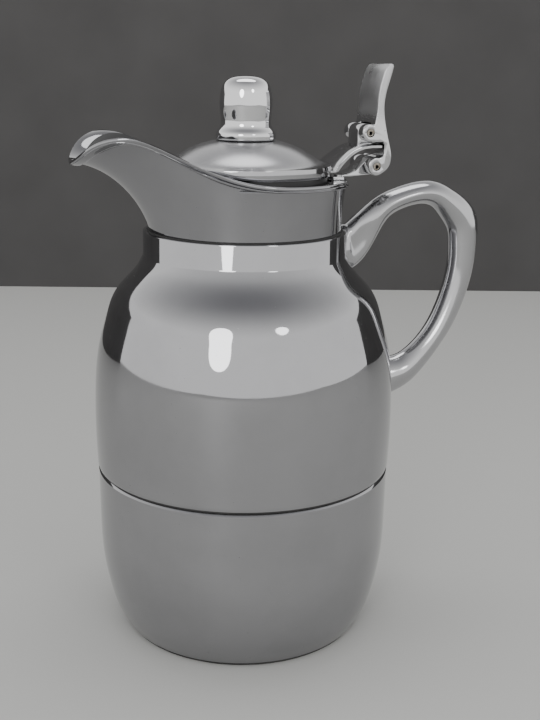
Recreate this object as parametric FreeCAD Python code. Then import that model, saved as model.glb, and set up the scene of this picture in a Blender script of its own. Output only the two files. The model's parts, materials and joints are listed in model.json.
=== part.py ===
import FreeCAD, Part

import math
import os

from FreeCAD import Vector

# A chromed vacuum jug with a glass flask, a pouring collar and a domed lid on a thumb lever.
# Millimetres. The jug's axis is Z and it stands on z = 0. The spout points along -X and the
# handle along +X, so every hinge pin lies along Y.

# ---- clearances ----
seat_gap = 0.1             # hard pieces that rest face to face
push_gap = 0.05            # pieces pushed or screwed into each other
pin_gap = 0.05             # running fit of the hinge pins, on the radius
soft_gap = 0.3             # rubber beside its seat
side_gap = 0.25            # lug and barrel beside the lever's ears

# ---- body: driving sizes ----
cup_height = 74.6          # rim of the base cup, under the seam
seam_gap = 1.0             # groove between the cup and the shell
shoulder_rise = 93.9       # from the shell's lower edge to the straight neck
neck_height = 10.1         # the straight neck
shell_belly_r = 66.2       # widest place of the upper shell
cup_step = 0.9             # the cup is a little slimmer than the shell
foot_turn = 10.6           # how far the cup turns under, from its rim to its foot
neck_r = 44.0              # outside of the neck
body_wall = 1.3
joint_wall = 1.7           # what is left of the cup outside the joint ring
joint_t = 2.6
joint_depth = 14.0         # bore for the joint ring, in the cup and in the shell

shell_foot_z = cup_height + seam_gap
shoulder_top = shell_foot_z + shoulder_rise
neck_top = shoulder_top + neck_height
cup_top_r = shell_belly_r - cup_step
foot_r = cup_top_r - foot_turn
joint_r = cup_top_r - joint_wall

# ---- foot, plug and cushion ----
foot_ring_h = 1.6
foot_ring_w = 6.7
tongue_h = 1.3
tongue_in = 2.6            # the tongue's outer face, inside the cup's foot
panel_z = 5.2              # underside of the cup's raised floor
floor_t = 1.6
plug_r = 14.8
plug_flange_r = 18.5
cushion_r = 26.5
cushion_h = 2.7            # thickness at the middle of the cushion

# ---- collar, spout and insert ----
collar_lift = 0.6          # thickness of the gasket between the neck and the collar
collar_step = 2.5          # the collar's foot is slimmer than the neck
collar_wall = 1.5
spout_reach = 74.2         # from the axis to the spout's tip
bead_out = 0.9             # how far the rolled edge stands proud of the wall
flange_t = 1.4
ledge_gap = 0.5            # between the lid's rim and the collar's top ledge, on the radius
ledge_t = 1.0
ledge_lift = 0.8           # the ledge's top above the rear of the rim's line
ledge_end_x = -12.0        # the ledge stops here, where the spout opens
lining_gap = 0.2           # between the collar and its lining
insert_wall = 1.4
insert_rise = 10.3         # from the collar's foot to the insert's floor
insert_floor_t = 2.0
skirt_step = 6.2           # the insert's skirt is slimmer than the neck
skirt_t = 2.2
skirt_length = 12.2
neck_nut_h = 7.5
neck_nut_t = 2.1

collar_foot_z = neck_top + collar_lift
collar_foot_r = neck_r - collar_step
insert_floor_z = collar_foot_z + insert_rise
skirt_r = neck_r - skirt_step
skirt_foot_z = collar_foot_z - skirt_length

# ---- flask ----
flask_side = 9.2           # from the shell's belly in to the outer glass
glass_t = 1.5
flask_gap = 4.5            # the evacuated space between the two glass walls
flask_foot_z = 17.0        # lowest point of the outer glass
flask_dome_h = 33.0        # height of its rounded bottom
lip_drop = 4.5             # the glass lip under the insert's floor
lip_w = 8.0                # across the rounded lip
neck_glass_h = 26.0        # from the lip down to the narrow end of the glass shoulder
shoulder_glass_h = 38.0    # height of the glass shoulder
gasket_w = 2.6             # silicone outside the glass lip
hole_step = 0.5            # the insert's hole is wider than the glass neck
spacer_r = 5.0
spacer_z = 70.0

flask_r = shell_belly_r - flask_side
lip_z = insert_floor_z - lip_drop
flask_neck_z = lip_z - neck_glass_h
flask_shoulder_z = flask_neck_z - shoulder_glass_h
flask_neck_r = skirt_r - skirt_t - gasket_w
mouth_r = flask_neck_r - lip_w
insert_hole_r = mouth_r + hole_step

# ---- lid ----
lid_step = 7.7             # the lid is slimmer than the neck
lid_lift = 23.2            # from the collar's foot to the lid's rim
lid_rim_h = 4.4
lid_dome_h = 9.6
lid_wall = 1.2
liner_lift = 5.5           # from the insert's floor to the liner
liner_wall = 1.6
stopper_clear = 3.9        # between the stopper and the edge of the insert's hole
stopper_taper = 4.6
stopper_depth = 13.5       # how far the stopper hangs under the insert's floor
flange_out = 5.4
seal_out = 3.0             # the seal stands out past the stopper's flange
seal_t = 2.0
knob_h = 26.4
knob_r = 11.0
knob_flare_r = 12.6
stud_r = 2.0
stud_length = 24.0
stud_below = 9.6           # what hangs under the dome
nut_corner_r = 4.1
nut_h = 3.3
nut_washer_r = 6.0
nut_washer_t = 0.9

lid_r = neck_r - lid_step
ledge_r = lid_r + ledge_gap
lid_rim_z = collar_foot_z + lid_lift
lid_top_z = lid_rim_z + lid_rim_h + lid_dome_h
liner_foot_z = insert_floor_z + liner_lift
stopper_r = insert_hole_r - stopper_clear
stopper_tip_r = stopper_r - stopper_taper
stopper_foot_z = insert_floor_z - stopper_depth
stopper_flange_r = stopper_r + flange_out
seal_r = stopper_flange_r + seal_out

# ---- hinge ----
pin_out = 11.3             # the lower pin stands behind the neck's outside
pin_lift = 26.6            # and above the collar's foot
pin_back = 3.4             # the upper pin is nearer the lid than the lower one
pin_rise = 14.1            # and above it
pin_r = 1.75
pin_bore_r = 0.55          # the rolled pins are hollow
lever_half = 11.75         # half of the lever's width along Y
knuckle_half = 5.9         # half of the width of the lug and of the barrel
lower_knuckle_t = 2.05     # metal round the lower pin
upper_knuckle_t = 1.85
arm_t = 2.5
arm_flare = 3.2            # how much wider the arm is at the lid, each side
rivet_r = 1.1
rivet_y = 8.5
rivet_lift = 1.9           # above the lid's rim
plate_half = 10.0          # the bracket's foot on the ledge, half its width along Y
plate_t = 1.3
plate_in = 0.8             # from the ledge's inner edge out to the foot
plate_w = 4.6              # the foot's depth
rim_clear = 0.5            # the strap passes over the rolled edge
bracket_screw_y = 7.9
bracket_screw_r = 1.0
bracket_head_r = 1.7
bracket_head_h = 0.8

lower_pin_x = neck_r + pin_out
lower_pin_z = collar_foot_z + pin_lift
upper_pin_x = lower_pin_x - pin_back
upper_pin_z = lower_pin_z + pin_rise
lower_knuckle_r = pin_r + lower_knuckle_t
upper_knuckle_r = pin_r + upper_knuckle_t
rivet_z = lid_rim_z + rivet_lift

# ---- handle and its screws ----
handle_half = 6.4          # half of the grip's width along Y
root_half = 7.6
screw_r = 2.0
screw_head_r = 3.3
screw_head_h = 1.5
washer_r = 5.0
washer_t = 0.8
washer_seat = 0.40         # behind the round wall, so that the flat washer clears it
upper_screw_drop = 8.6     # under the neck's top
lower_screw_lift = 35.9    # above the shell's lower edge
upper_screw_in = 10.0      # how far the upper screw reaches past the neck's outside
lower_screw_in = 12.8      # and the lower one past the belly

upper_screw_z = neck_top - upper_screw_drop
lower_screw_z = shell_foot_z + lower_screw_lift
upper_screw_tip = neck_r + upper_screw_in
lower_screw_tip = shell_belly_r + lower_screw_in

os.makedirs("parts", exist_ok=True)


def save(name, shape):
    """Write one piece, and say its volume so that a bad solid shows."""
    shape.exportStep("parts/" + name + ".step")
    print(f"{name:20s} {len(shape.Solids)} {shape.Volume / 1000:9.3f} cm3 {shape.isValid()}")


def edge_through(points):
    """A line through two points, or a smooth curve through more."""
    if len(points) == 2:
        return Part.LineSegment(points[0], points[1]).toShape()
    curve = Part.BSplineCurve()
    curve.interpolate(points)
    return curve.toShape()


def closed_face(runs, place):
    """A face inside runs of points; a straight line joins each run to the next."""
    edges = []
    last = runs[-1][-1]
    for run in runs:
        if math.dist(last, run[0]) > 1e-6:
            edges.append(edge_through([place(*last), place(*run[0])]))
        if len(run) > 1:
            edges.append(edge_through([place(*point) for point in run]))
        last = run[-1]
    return Part.Face(Part.Wire(edges))


def turned(*runs):
    """A solid of revolution about Z, from (radius, z) runs."""
    face = closed_face(runs, lambda r, z: Vector(r, 0, z))
    return face.revolve(Vector(0, 0, 0), Vector(0, 0, 1), 360)


def turned_polygon(*points):
    """A solid of revolution about Z with straight sides only."""
    return turned(*[[point] for point in points])


def extruded(half, *runs):
    """A solid from (x, z) runs, reaching half to each side of Y = 0."""
    face = closed_face(runs, lambda x, z: Vector(x, -half, z))
    return face.extrude(Vector(0, 2 * half, 0))


def ring(r_in, r_out, z_low, z_high):
    return turned_polygon((r_in, z_low), (r_out, z_low), (r_out, z_high), (r_in, z_high))


def rod_y(r, x, z, half):
    return Part.makeCylinder(r, 2 * half, Vector(x, -half, z), Vector(0, 1, 0))


def rod_x(r, x_from, x_to, y, z):
    return Part.makeCylinder(r, x_to - x_from, Vector(x_from, y, z), Vector(1, 0, 0))


def slab(x_low, x_high, half, z_low, z_high):
    return Part.makeBox(x_high - x_low, 2 * half, z_high - z_low, Vector(x_low, -half, z_low))


def largest(shape):
    return max(shape.Solids, key=lambda solid: solid.Volume)


def inset(points, depth):
    """The points of an open outline moved to its left by depth, square to the outline."""
    moved = []
    for i, (x, z) in enumerate(points):
        x0, z0 = points[max(i - 1, 0)]
        x1, z1 = points[min(i + 1, len(points) - 1)]
        run = math.dist((x0, z0), (x1, z1))
        moved.append((x - depth * (z1 - z0) / run, z + depth * (x1 - x0) / run))
    return moved


# ---- body outlines, from the bottom up ----

cup_line = [
    (foot_r, foot_ring_h),
    (foot_r + 3.5, 8.0),
    (cup_top_r - 3.4, 20.0),
    (cup_top_r - 1.1, 33.0),
    (cup_top_r - 0.2, 52.0),
    (cup_top_r, cup_height - 1.0),
]
shoulder_w = shell_belly_r - neck_r
shell_line = [
    (shell_belly_r - 0.6, shell_foot_z),
    (shell_belly_r, shell_foot_z + 0.2 * shoulder_rise),
    (shell_belly_r - 0.2, shell_foot_z + 0.34 * shoulder_rise),
    (shell_belly_r - 0.05 * shoulder_w, shell_foot_z + 0.49 * shoulder_rise),
    (shell_belly_r - 0.14 * shoulder_w, shell_foot_z + 0.61 * shoulder_rise),
    (shell_belly_r - 0.265 * shoulder_w, shell_foot_z + 0.713 * shoulder_rise),
    (shell_belly_r - 0.39 * shoulder_w, shell_foot_z + 0.797 * shoulder_rise),
    (shell_belly_r - 0.54 * shoulder_w, shell_foot_z + 0.852 * shoulder_rise),
    (neck_r + 0.265 * shoulder_w, shoulder_top - 9.3),
    (neck_r + 0.1 * shoulder_w, shoulder_top - 4.6),
    (neck_r, shoulder_top),
]


def base_cup():
    """Pressed cup: raised floor, groove for the foot ring, plain bore for the joint ring."""
    groove_in = foot_r - foot_ring_w - push_gap
    groove_out = foot_r - tongue_in + push_gap
    inner = inset(cup_line, body_wall)[1:-1]
    inner = [(min(r, joint_r), z) for r, z in inner]
    return turned(
        [(plug_r + push_gap, panel_z), (groove_in - 3.6, panel_z)],
        [(groove_in - 1.7, foot_ring_h), (groove_in, foot_ring_h)],
        [(groove_in, foot_ring_h + tongue_h + seat_gap)],
        [(groove_out, foot_ring_h + tongue_h + seat_gap)],
        [(groove_out, foot_ring_h)],
        cup_line,
        [(cup_top_r - 0.9, cup_height)],
        [(joint_r, cup_height), (joint_r, cup_height - joint_depth)],
        list(reversed(inner[:-1])),
        [(foot_r - 3.0, panel_z + floor_t)],
        [(plug_r + push_gap, panel_z + floor_t)],
    )


def foot_ring():
    """Rubber ring the jug stands on, with a tongue pressed into the cup's groove."""
    outer = foot_r - 1.0
    inner = outer - foot_ring_w
    return turned_polygon(
        (inner, 0), (outer, 0), (outer, foot_ring_h),
        (foot_r - tongue_in, foot_ring_h), (foot_r - tongue_in, foot_ring_h + tongue_h),
        (foot_r - foot_ring_w, foot_ring_h + tongue_h), (foot_r - foot_ring_w, foot_ring_h),
        (inner, foot_ring_h),
    )


def body_shell():
    """Pressed upper shell: bore for the joint ring, shoulder, neck and the neck's inward lip."""
    inner = inset(shell_line, body_wall)[2:]
    bore_top = shell_foot_z + joint_depth
    shell = turned(
        shell_line,
        [(neck_r, neck_top)],
        [(skirt_r + push_gap, neck_top), (skirt_r + push_gap, neck_top - body_wall)],
        [(neck_r - body_wall, neck_top - body_wall)],
        [(neck_r - body_wall, shoulder_top)],
        list(reversed(inner[:-1])),
        [(joint_r, bore_top), (joint_r, shell_foot_z)],
    )
    for x_from, z in ((neck_r - 4.0, upper_screw_z), (joint_r - 2.0, lower_screw_z)):
        shell = shell.cut(rod_x(screw_r + push_gap, x_from, x_from + 12.0, 0, z))
    return shell


def solid_body():
    """The outside of the shell, filled, to trim the handle: a lower and an upper half."""
    above = collar_foot_z + 20.0
    whole = turned(shell_line, [(neck_r, above)], [(0, above), (0, shell_foot_z)])
    middle = (upper_screw_z + lower_screw_z) / 2
    reach = 2 * shell_belly_r
    lower = whole.common(slab(-reach, reach, reach, 0, middle))
    upper = whole.common(slab(-reach, reach, reach, middle, above + 1.0))
    return lower, upper


def joint_ring():
    """Ring bonded into the shell; the base cup screws onto its lower half."""
    outer = joint_r - push_gap
    reach = joint_depth - 1.0
    return ring(outer - joint_t, outer, cup_height - reach, shell_foot_z + reach)


def seam_gasket():
    return ring(joint_r + push_gap, cup_top_r - 0.6, cup_height + seat_gap, shell_foot_z - seat_gap)


def base_plug():
    """Screw plug that lifts the flask's cushion; its coin slot is on the underside."""
    table_z = flask_foot_z - soft_gap - cushion_h
    plug = turned_polygon(
        (0, panel_z - 2.2), (plug_flange_r, panel_z - 2.2),
        (plug_flange_r, panel_z - seat_gap), (plug_r, panel_z - seat_gap),
        (plug_r, table_z - 2.0), (cushion_r, table_z - 2.0),
        (cushion_r, table_z), (5.0, table_z), (5.0, table_z - 4.0), (0, table_z - 4.0),
    )
    return plug.cut(slab(-12.0, 12.0, 1.2, 0, panel_z - 0.6))


# ---- flask ----

def glass_bottom(r, width, height, foot_z):
    """Height of an elliptical bottom at radius r."""
    return foot_z + height * (1 - math.sqrt(1 - (r / width) ** 2))


def glass_line(r, neck, foot_z, dome_h, gap):
    """Outline of one glass wall: elliptical bottom, straight side, shoulder and neck."""
    steps = [0, 15, 30, 45, 60, 75, 90]
    bottom = []
    for step in steps:
        angle = math.radians(step)
        bottom.append((r * math.sin(angle), foot_z + dome_h * (1 - math.cos(angle))))
    fall = flask_neck_z - flask_shoulder_z
    shoulder = [
        (r, flask_shoulder_z),
        (r - 0.07 * (r - neck), flask_shoulder_z + 0.3 * fall - gap * 0.3),
        (r - 0.3 * (r - neck), flask_shoulder_z + 0.62 * fall - gap * 0.6),
        (neck + 0.3 * (r - neck), flask_shoulder_z + 0.86 * fall - gap * 0.6),
        (neck, flask_neck_z + 4.0),
    ]
    return bottom, shoulder


def glass_wall(r, neck, foot_z, dome_h, gap, top_z):
    """Blown glass wall: the outline and the same outline inset by the glass thickness."""
    bottom, shoulder = glass_line(r, neck, foot_z, dome_h, gap)
    deep_bottom, deep_shoulder = glass_line(
        r - glass_t, neck - glass_t, foot_z + glass_t, dome_h - glass_t, gap)
    return (
        bottom, shoulder, [(neck, top_z)],
        [(neck - glass_t, top_z)], list(reversed(deep_shoulder)), list(reversed(deep_bottom)),
    )


def flask_outer():
    """Outer glass wall, with the drawn-off tip that sealed the vacuum."""
    wall = turned(*glass_wall(flask_r, flask_neck_r, flask_foot_z, flask_dome_h, 0, lip_z - 4.0))
    tip = Part.makeCone(1.2, 3.4, 4.0, Vector(0, 0, flask_foot_z - 3.2))
    return wall.fuse(tip)


def flask_inner():
    """Inner glass wall; its rounded lip turns over to meet the outer wall."""
    step = glass_t + flask_gap
    inner_r = flask_r - step
    lip_mid = (mouth_r + flask_neck_r) / 2
    lip_half = (flask_neck_r - mouth_r) / 2
    runs = glass_wall(inner_r, mouth_r + glass_t, flask_foot_z + step, flask_dome_h - step + 4,
                      flask_gap, lip_z - 4.0)
    bottom, shoulder, _, _, deep_shoulder, deep_bottom = runs
    seat_z = lip_z - 4.0
    lip_low = lip_z - lip_half
    inside = lip_half - glass_t
    return turned(
        bottom, shoulder, [(mouth_r + glass_t, lip_low)],
        [(lip_mid - inside, lip_low), (lip_mid, lip_low + inside), (lip_mid + inside, lip_low)],
        [(lip_mid + inside, seat_z)],
        [(flask_neck_r, seat_z)],
        [(flask_neck_r, lip_low), (lip_mid, lip_z), (mouth_r, lip_low)],
        deep_shoulder, deep_bottom,
    )


def flask_spacers():
    """Three pads that keep the two glass walls apart."""
    outer_face = flask_r - glass_t - 0.05
    inner_face = flask_r - glass_t - flask_gap + 0.35
    pads = []
    for turn in (0, 120, 240):
        pad = rod_x(spacer_r, inner_face, outer_face - 0.25, 0, spacer_z)
        pad.rotate(Vector(0, 0, 0), Vector(0, 0, 1), turn)
        pads.append(pad)
    return Part.makeCompound(pads)


def flask_cushion():
    """Rubber seat under the flask, shaped to the glass, open in the middle for its tip."""
    low = flask_foot_z - soft_gap - cushion_h + 0.02
    radii = [6.5, 13.0, 20.0, cushion_r]
    top = [(r, glass_bottom(r, flask_r, flask_dome_h, flask_foot_z) - soft_gap) for r in radii]
    return turned([(radii[0], low), (cushion_r, low)], list(reversed(top)))


def mouth_gasket():
    """Silicone ring over the flask's lip, pressed up against the insert."""
    top = insert_floor_z - insert_floor_t - push_gap
    outer = skirt_r - skirt_t - push_gap
    bore = flask_neck_r + soft_gap
    return turned_polygon(
        (mouth_r + 0.4, lip_z + soft_gap), (bore, lip_z + soft_gap), (bore, lip_z - 8.0),
        (outer, lip_z - 8.0), (outer, top), (mouth_r + 0.4, top),
    )


# ---- collar and spout ----
# The rim runs round from the handle side (turn 0) to the spout's tip (turn 180).
# Each wall line rises from the round foot to the rim, hollowing outwards as it goes.

# Each station: turn in degrees, x as a share of the neck's radius behind the axis or of the
# spout's reach before it, y as a share of the neck's radius, height above the collar's foot.
rim_stations = [
    (0, 0.991, 0.0, 20.0),
    (30, 0.859, 0.496, 20.1),
    (60, 0.500, 0.868, 20.4),
    (90, -0.007, 1.0, 21.1),
    (105, -0.175, 0.955, 23.0),
    (120, -0.364, 0.827, 27.7),
    (135, -0.553, 0.718, 34.2),
    (150, -0.768, 0.650, 38.9),
    (160, -0.895, 0.514, 36.4),
    (170, -0.973, 0.291, 31.0),
    (180, -1.0, 0.0, 28.4),
]
rim_half = []
for turn, along, across, height in rim_stations:
    x = along * (neck_r if along > 0 else spout_reach)
    rim_half.append((turn, (x, across * neck_r, collar_foot_z + height)))
hollow = 0.75              # share of the wall's sweep that is a quarter round, the rest is straight
bead_rise = 64.0           # degrees up the wall line where the rolled edge begins
bead_tip_rise = 80.0       # the same at the spout's tip, where the edge is thin


def rim_curve():
    stations = list(rim_half)
    for turn, (x, y, z) in reversed(rim_half[1:-1]):
        stations.append((360 - turn, (x, -y, z)))
    stations.append((360, rim_half[0][1]))
    curve = Part.BSplineCurve()
    curve.interpolate(Points=[Vector(*place) for _, place in stations[:-1]],
                      Parameters=[turn / 360 for turn, _ in stations], PeriodicFlag=True)
    return curve


RIM = rim_curve()


def collar_point(turn, rise):
    """A point of the collar's outside: turn round the axis, rise 0 at the foot, 90 at the rim."""
    rim = RIM.value((turn % 360) / 360)
    angle = math.radians(turn)
    climb = math.sin(math.radians(rise))
    spread = (1 - hollow) * climb + hollow * (1 - math.cos(math.radians(rise)))
    foot = Vector(collar_foot_r * math.cos(angle), collar_foot_r * math.sin(angle), 0)
    out = Vector(rim.x, rim.y, 0) - foot
    return Vector(foot.x + out.x * spread, foot.y + out.y * spread,
                  collar_foot_z + (rim.z - collar_foot_z) * climb)


def collar_ring(rise_at, depth):
    """A closed smooth ring on the collar's wall, depth inwards of the outside."""
    points = []
    for turn in range(0, 360, 10):
        rise = rise_at(turn)
        along = collar_point(turn + 1, rise) - collar_point(turn - 1, rise)
        up = collar_point(turn, rise) - collar_point(turn, rise - 1)
        inward = up.cross(along).normalize()
        points.append(collar_point(turn, rise) + inward * depth)
    curve = Part.BSplineCurve()
    curve.interpolate(Points=points, Parameters=[i / 36 for i in range(37)], PeriodicFlag=True)
    return Part.Wire([curve.toShape()])


def bead_start(turn):
    """Rise at which the rolled edge begins, later towards the spout's tip."""
    front = ((1 - math.cos(math.radians(turn))) / 2) ** 8
    return bead_rise + (bead_tip_rise - bead_rise) * front


def sewn(faces):
    shell = Part.makeShell(faces)
    shell.sewShape()
    solid = Part.Solid(shell)
    if solid.Volume < 0:
        solid.reverse()
    return solid


def wall_between(low, high, outer_depth, inner_depth):
    """A lofted wall of the collar between two shares of the height up to the rolled edge."""
    shares = [low + (high - low) * i / 6 for i in range(7)]
    outer = [collar_ring(lambda turn, s=s: s * bead_start(turn), outer_depth) for s in shares]
    inner = [collar_ring(lambda turn, s=s: s * bead_start(turn), inner_depth) for s in shares]
    faces = Part.makeLoft(outer, False, False).Faces + Part.makeLoft(inner, False, False).Faces
    faces += Part.makeLoft([outer[0], inner[0]], False, True).Faces
    return faces, outer[-1], inner[-1]


def ledge_ring(inner_r, thick, extra):
    """The collar's top ledge, or with extra the room the insert leaves for it."""
    top = collar_point(0, 90).z + ledge_lift
    outer_r = neck_r - collar_wall + 0.1
    ledge = ring(inner_r - extra, outer_r, top - thick - extra, top + 20 * extra)
    front = slab(-2 * neck_r, ledge_end_x - extra, 2 * neck_r, top - 5, top + 5)
    return ledge.cut(front)


def collar_spout():
    """Collar and spout in one casting, with a rolled edge and a flange for the insert."""
    faces, outer_top, inner_top = wall_between(-0.06, 1.0, 0, collar_wall)
    band = [outer_top]
    for share, depth in ((0.08, -bead_out), (0.6, -bead_out), (1.0, -0.4 * bead_out)):
        band.append(collar_ring(
            lambda turn, s=share: bead_start(turn) + s * (90 - bead_start(turn)), depth))
    band.append(collar_ring(lambda turn: 90, collar_wall - 0.3))
    band.append(inner_top)
    faces += Part.makeLoft(band, False, True).Faces
    wall = sewn(faces)
    wall = wall.cut(slab(-60, 60, 60, collar_foot_z - 20, collar_foot_z))
    flange = ring(skirt_r + push_gap, collar_foot_r - 0.8, collar_foot_z,
                  collar_foot_z + flange_t)
    ledge = ledge_ring(ledge_r, ledge_t, 0)
    collar = wall.fuse([flange, ledge]).removeSplitter()
    for hole in bracket_rods(bracket_screw_r + push_gap, -2.0, 2.0):
        collar = collar.cut(hole)
    return collar


def foot_z():
    """Underside of the hinge bracket's foot, on the collar's ledge."""
    return collar_point(0, 90).z + ledge_lift + seat_gap


def bracket_rods(r, low, high):
    """Two upright rods through the bracket's foot, from low to high of its underside."""
    x = ledge_r + plate_in + plate_w / 2 - 0.8
    height = high - low
    return [Part.makeCylinder(r, height, Vector(x, y, foot_z() + low))
            for y in (-bracket_screw_y, bracket_screw_y)]


def spout_lining():
    """Plastic lining of the collar and spout; it stands on the insert's floor."""
    outer = collar_wall + lining_gap
    faces, outer_top, inner_top = wall_between(0.18, 0.97, outer, outer + insert_wall)
    faces += Part.makeLoft([outer_top, inner_top], False, True).Faces
    low = insert_floor_z + push_gap
    lining = sewn(faces).cut(slab(-2 * spout_reach, 2 * neck_r, 2 * neck_r, 0, low))
    return lining.cut(ledge_ring(ledge_r - 1.0, ledge_t, seat_gap))


def pour_insert():
    """Floor of the collar round the flask's mouth, with a threaded skirt into the neck."""
    inside = collar_wall + lining_gap
    rings = [collar_ring(lambda turn, s=s: s * bead_start(turn), inside)
             for s in (0.06, 0.14, 0.22, 0.3, 0.38, 0.46, 0.54)]
    room = Part.makeLoft(rings, True, False)
    floor_low = insert_floor_z - insert_floor_t
    floor = room.common(slab(-2 * spout_reach, 2 * neck_r, 2 * neck_r, floor_low, insert_floor_z))
    floor = floor.cut(Part.makeCylinder(insert_hole_r, 60, Vector(0, 0, insert_floor_z - 30)))
    skirt = ring(skirt_r - skirt_t, skirt_r, skirt_foot_z, floor_low + 0.5)
    return floor.fuse(skirt)


def neck_gasket():
    return ring(skirt_r + 1.0, neck_r - 1.6, neck_top + push_gap, collar_foot_z - push_gap)


def neck_nut():
    """Ring nut on the insert's skirt; it draws the collar down onto the neck."""
    top = neck_top - body_wall - seat_gap
    nut = ring(skirt_r + push_gap, skirt_r + neck_nut_t, top - neck_nut_h, top)
    for turn in range(0, 360, 60):
        notch = slab(skirt_r + neck_nut_t - 0.8, skirt_r + neck_nut_t + 2, 2.5, top - 9, top - 5)
        notch.rotate(Vector(0, 0, 0), Vector(0, 0, 1), turn + 30)
        nut = nut.cut(notch)
    return nut


# ---- lid ----

def lid_cap():
    """Drawn dome with a turned-down rim and a hole for the knob's stud."""
    skirt_top = lid_rim_z + lid_rim_h
    rise = lid_top_z - skirt_top
    dome = [
        (lid_r, skirt_top),
        (0.92 * lid_r, skirt_top + 0.1 * rise),
        (0.79 * lid_r, skirt_top + 0.35 * rise),
        (0.66 * lid_r, skirt_top + 0.6 * rise),
        (0.5 * lid_r, skirt_top + 0.86 * rise),
        (0.33 * lid_r, lid_top_z),
    ]
    under = inset(dome, lid_wall)
    under[0] = (lid_r - lid_wall, skirt_top - 0.4)
    hole = stud_r + 0.2
    return turned(
        [(lid_r - lid_wall, lid_rim_z)], [(lid_r, lid_rim_z)], dome,
        [(hole, lid_top_z), (hole, lid_top_z - lid_wall)], list(reversed(under)),
    )


def lid_liner():
    """Plastic cup pushed up into the dome's rim; it closes the lid from below."""
    outer = lid_r - lid_wall - push_gap
    floor_top = liner_foot_z + liner_wall
    return turned_polygon(
        (0, liner_foot_z), (outer - 2.0, liner_foot_z), (outer, liner_foot_z + 2.0),
        (outer, lid_rim_z + 2.4), (outer - liner_wall, lid_rim_z + 2.4),
        (outer - liner_wall, floor_top), (0, floor_top),
    )


def lid_insulation():
    outer = lid_r - lid_wall - liner_wall - 1.0
    low = liner_foot_z + liner_wall + push_gap
    return turned_polygon((0, low), (outer, low), (outer, lid_rim_z + 2.6), (0, lid_rim_z + 2.6))


def stopper():
    """Tapered plug under the lid, with the flange that presses the seal."""
    top = liner_foot_z - push_gap
    seal_top = insert_floor_z + soft_gap + seal_t
    return turned_polygon(
        (0, stopper_foot_z), (stopper_tip_r, stopper_foot_z),
        (stopper_r, insert_floor_z - 2.5), (stopper_r, seal_top + push_gap),
        (stopper_flange_r, seal_top + push_gap), (stopper_flange_r, top), (0, top),
    )


def stopper_seal():
    low = insert_floor_z + soft_gap
    return ring(stopper_r + push_gap, seal_r, low, low + seal_t)


def knob():
    """Turned knob: flared foot, waist and rounded head, drilled for its stud."""
    low = lid_top_z + push_gap
    flare, side = knob_flare_r, knob_r
    return turned(
        [(stud_r + push_gap, low), (flare - 1.0, low)],
        [(flare - 1.0, low), (flare, low + 2.2), (flare - 0.6, low + 5.2), (side - 0.4, low + 8.4)],
        [(side - 0.4, low + 8.4), (side, low + 13.0), (side - 0.5, low + 19.0),
         (side - 2.0, low + 23.4), (side - 5.4, low + knob_h - 0.6), (0, low + knob_h)],
        [(0, low + 15.0), (stud_r + push_gap, low + 15.0)],
    )


def knob_stud():
    return Part.makeCylinder(stud_r, stud_length, Vector(0, 0, lid_top_z - stud_below))


def knob_nut():
    """Hexagon nut and its washer, drawn up under the dome."""
    top = lid_top_z - lid_wall - push_gap
    washer = ring(stud_r + push_gap, nut_washer_r, top - nut_washer_t, top)
    low = top - nut_washer_t - nut_h
    corners = []
    for turn in range(0, 361, 60):
        angle = math.radians(turn)
        corners.append(Vector(nut_corner_r * math.cos(angle), nut_corner_r * math.sin(angle), low))
    nut = Part.Face(Part.makePolygon(corners)).extrude(Vector(0, 0, nut_h))
    nut = nut.cut(Part.makeCylinder(stud_r + push_gap, 6.0, Vector(0, 0, top - 5.0)))
    return Part.makeCompound([washer, nut])


# ---- hinge ----

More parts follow.
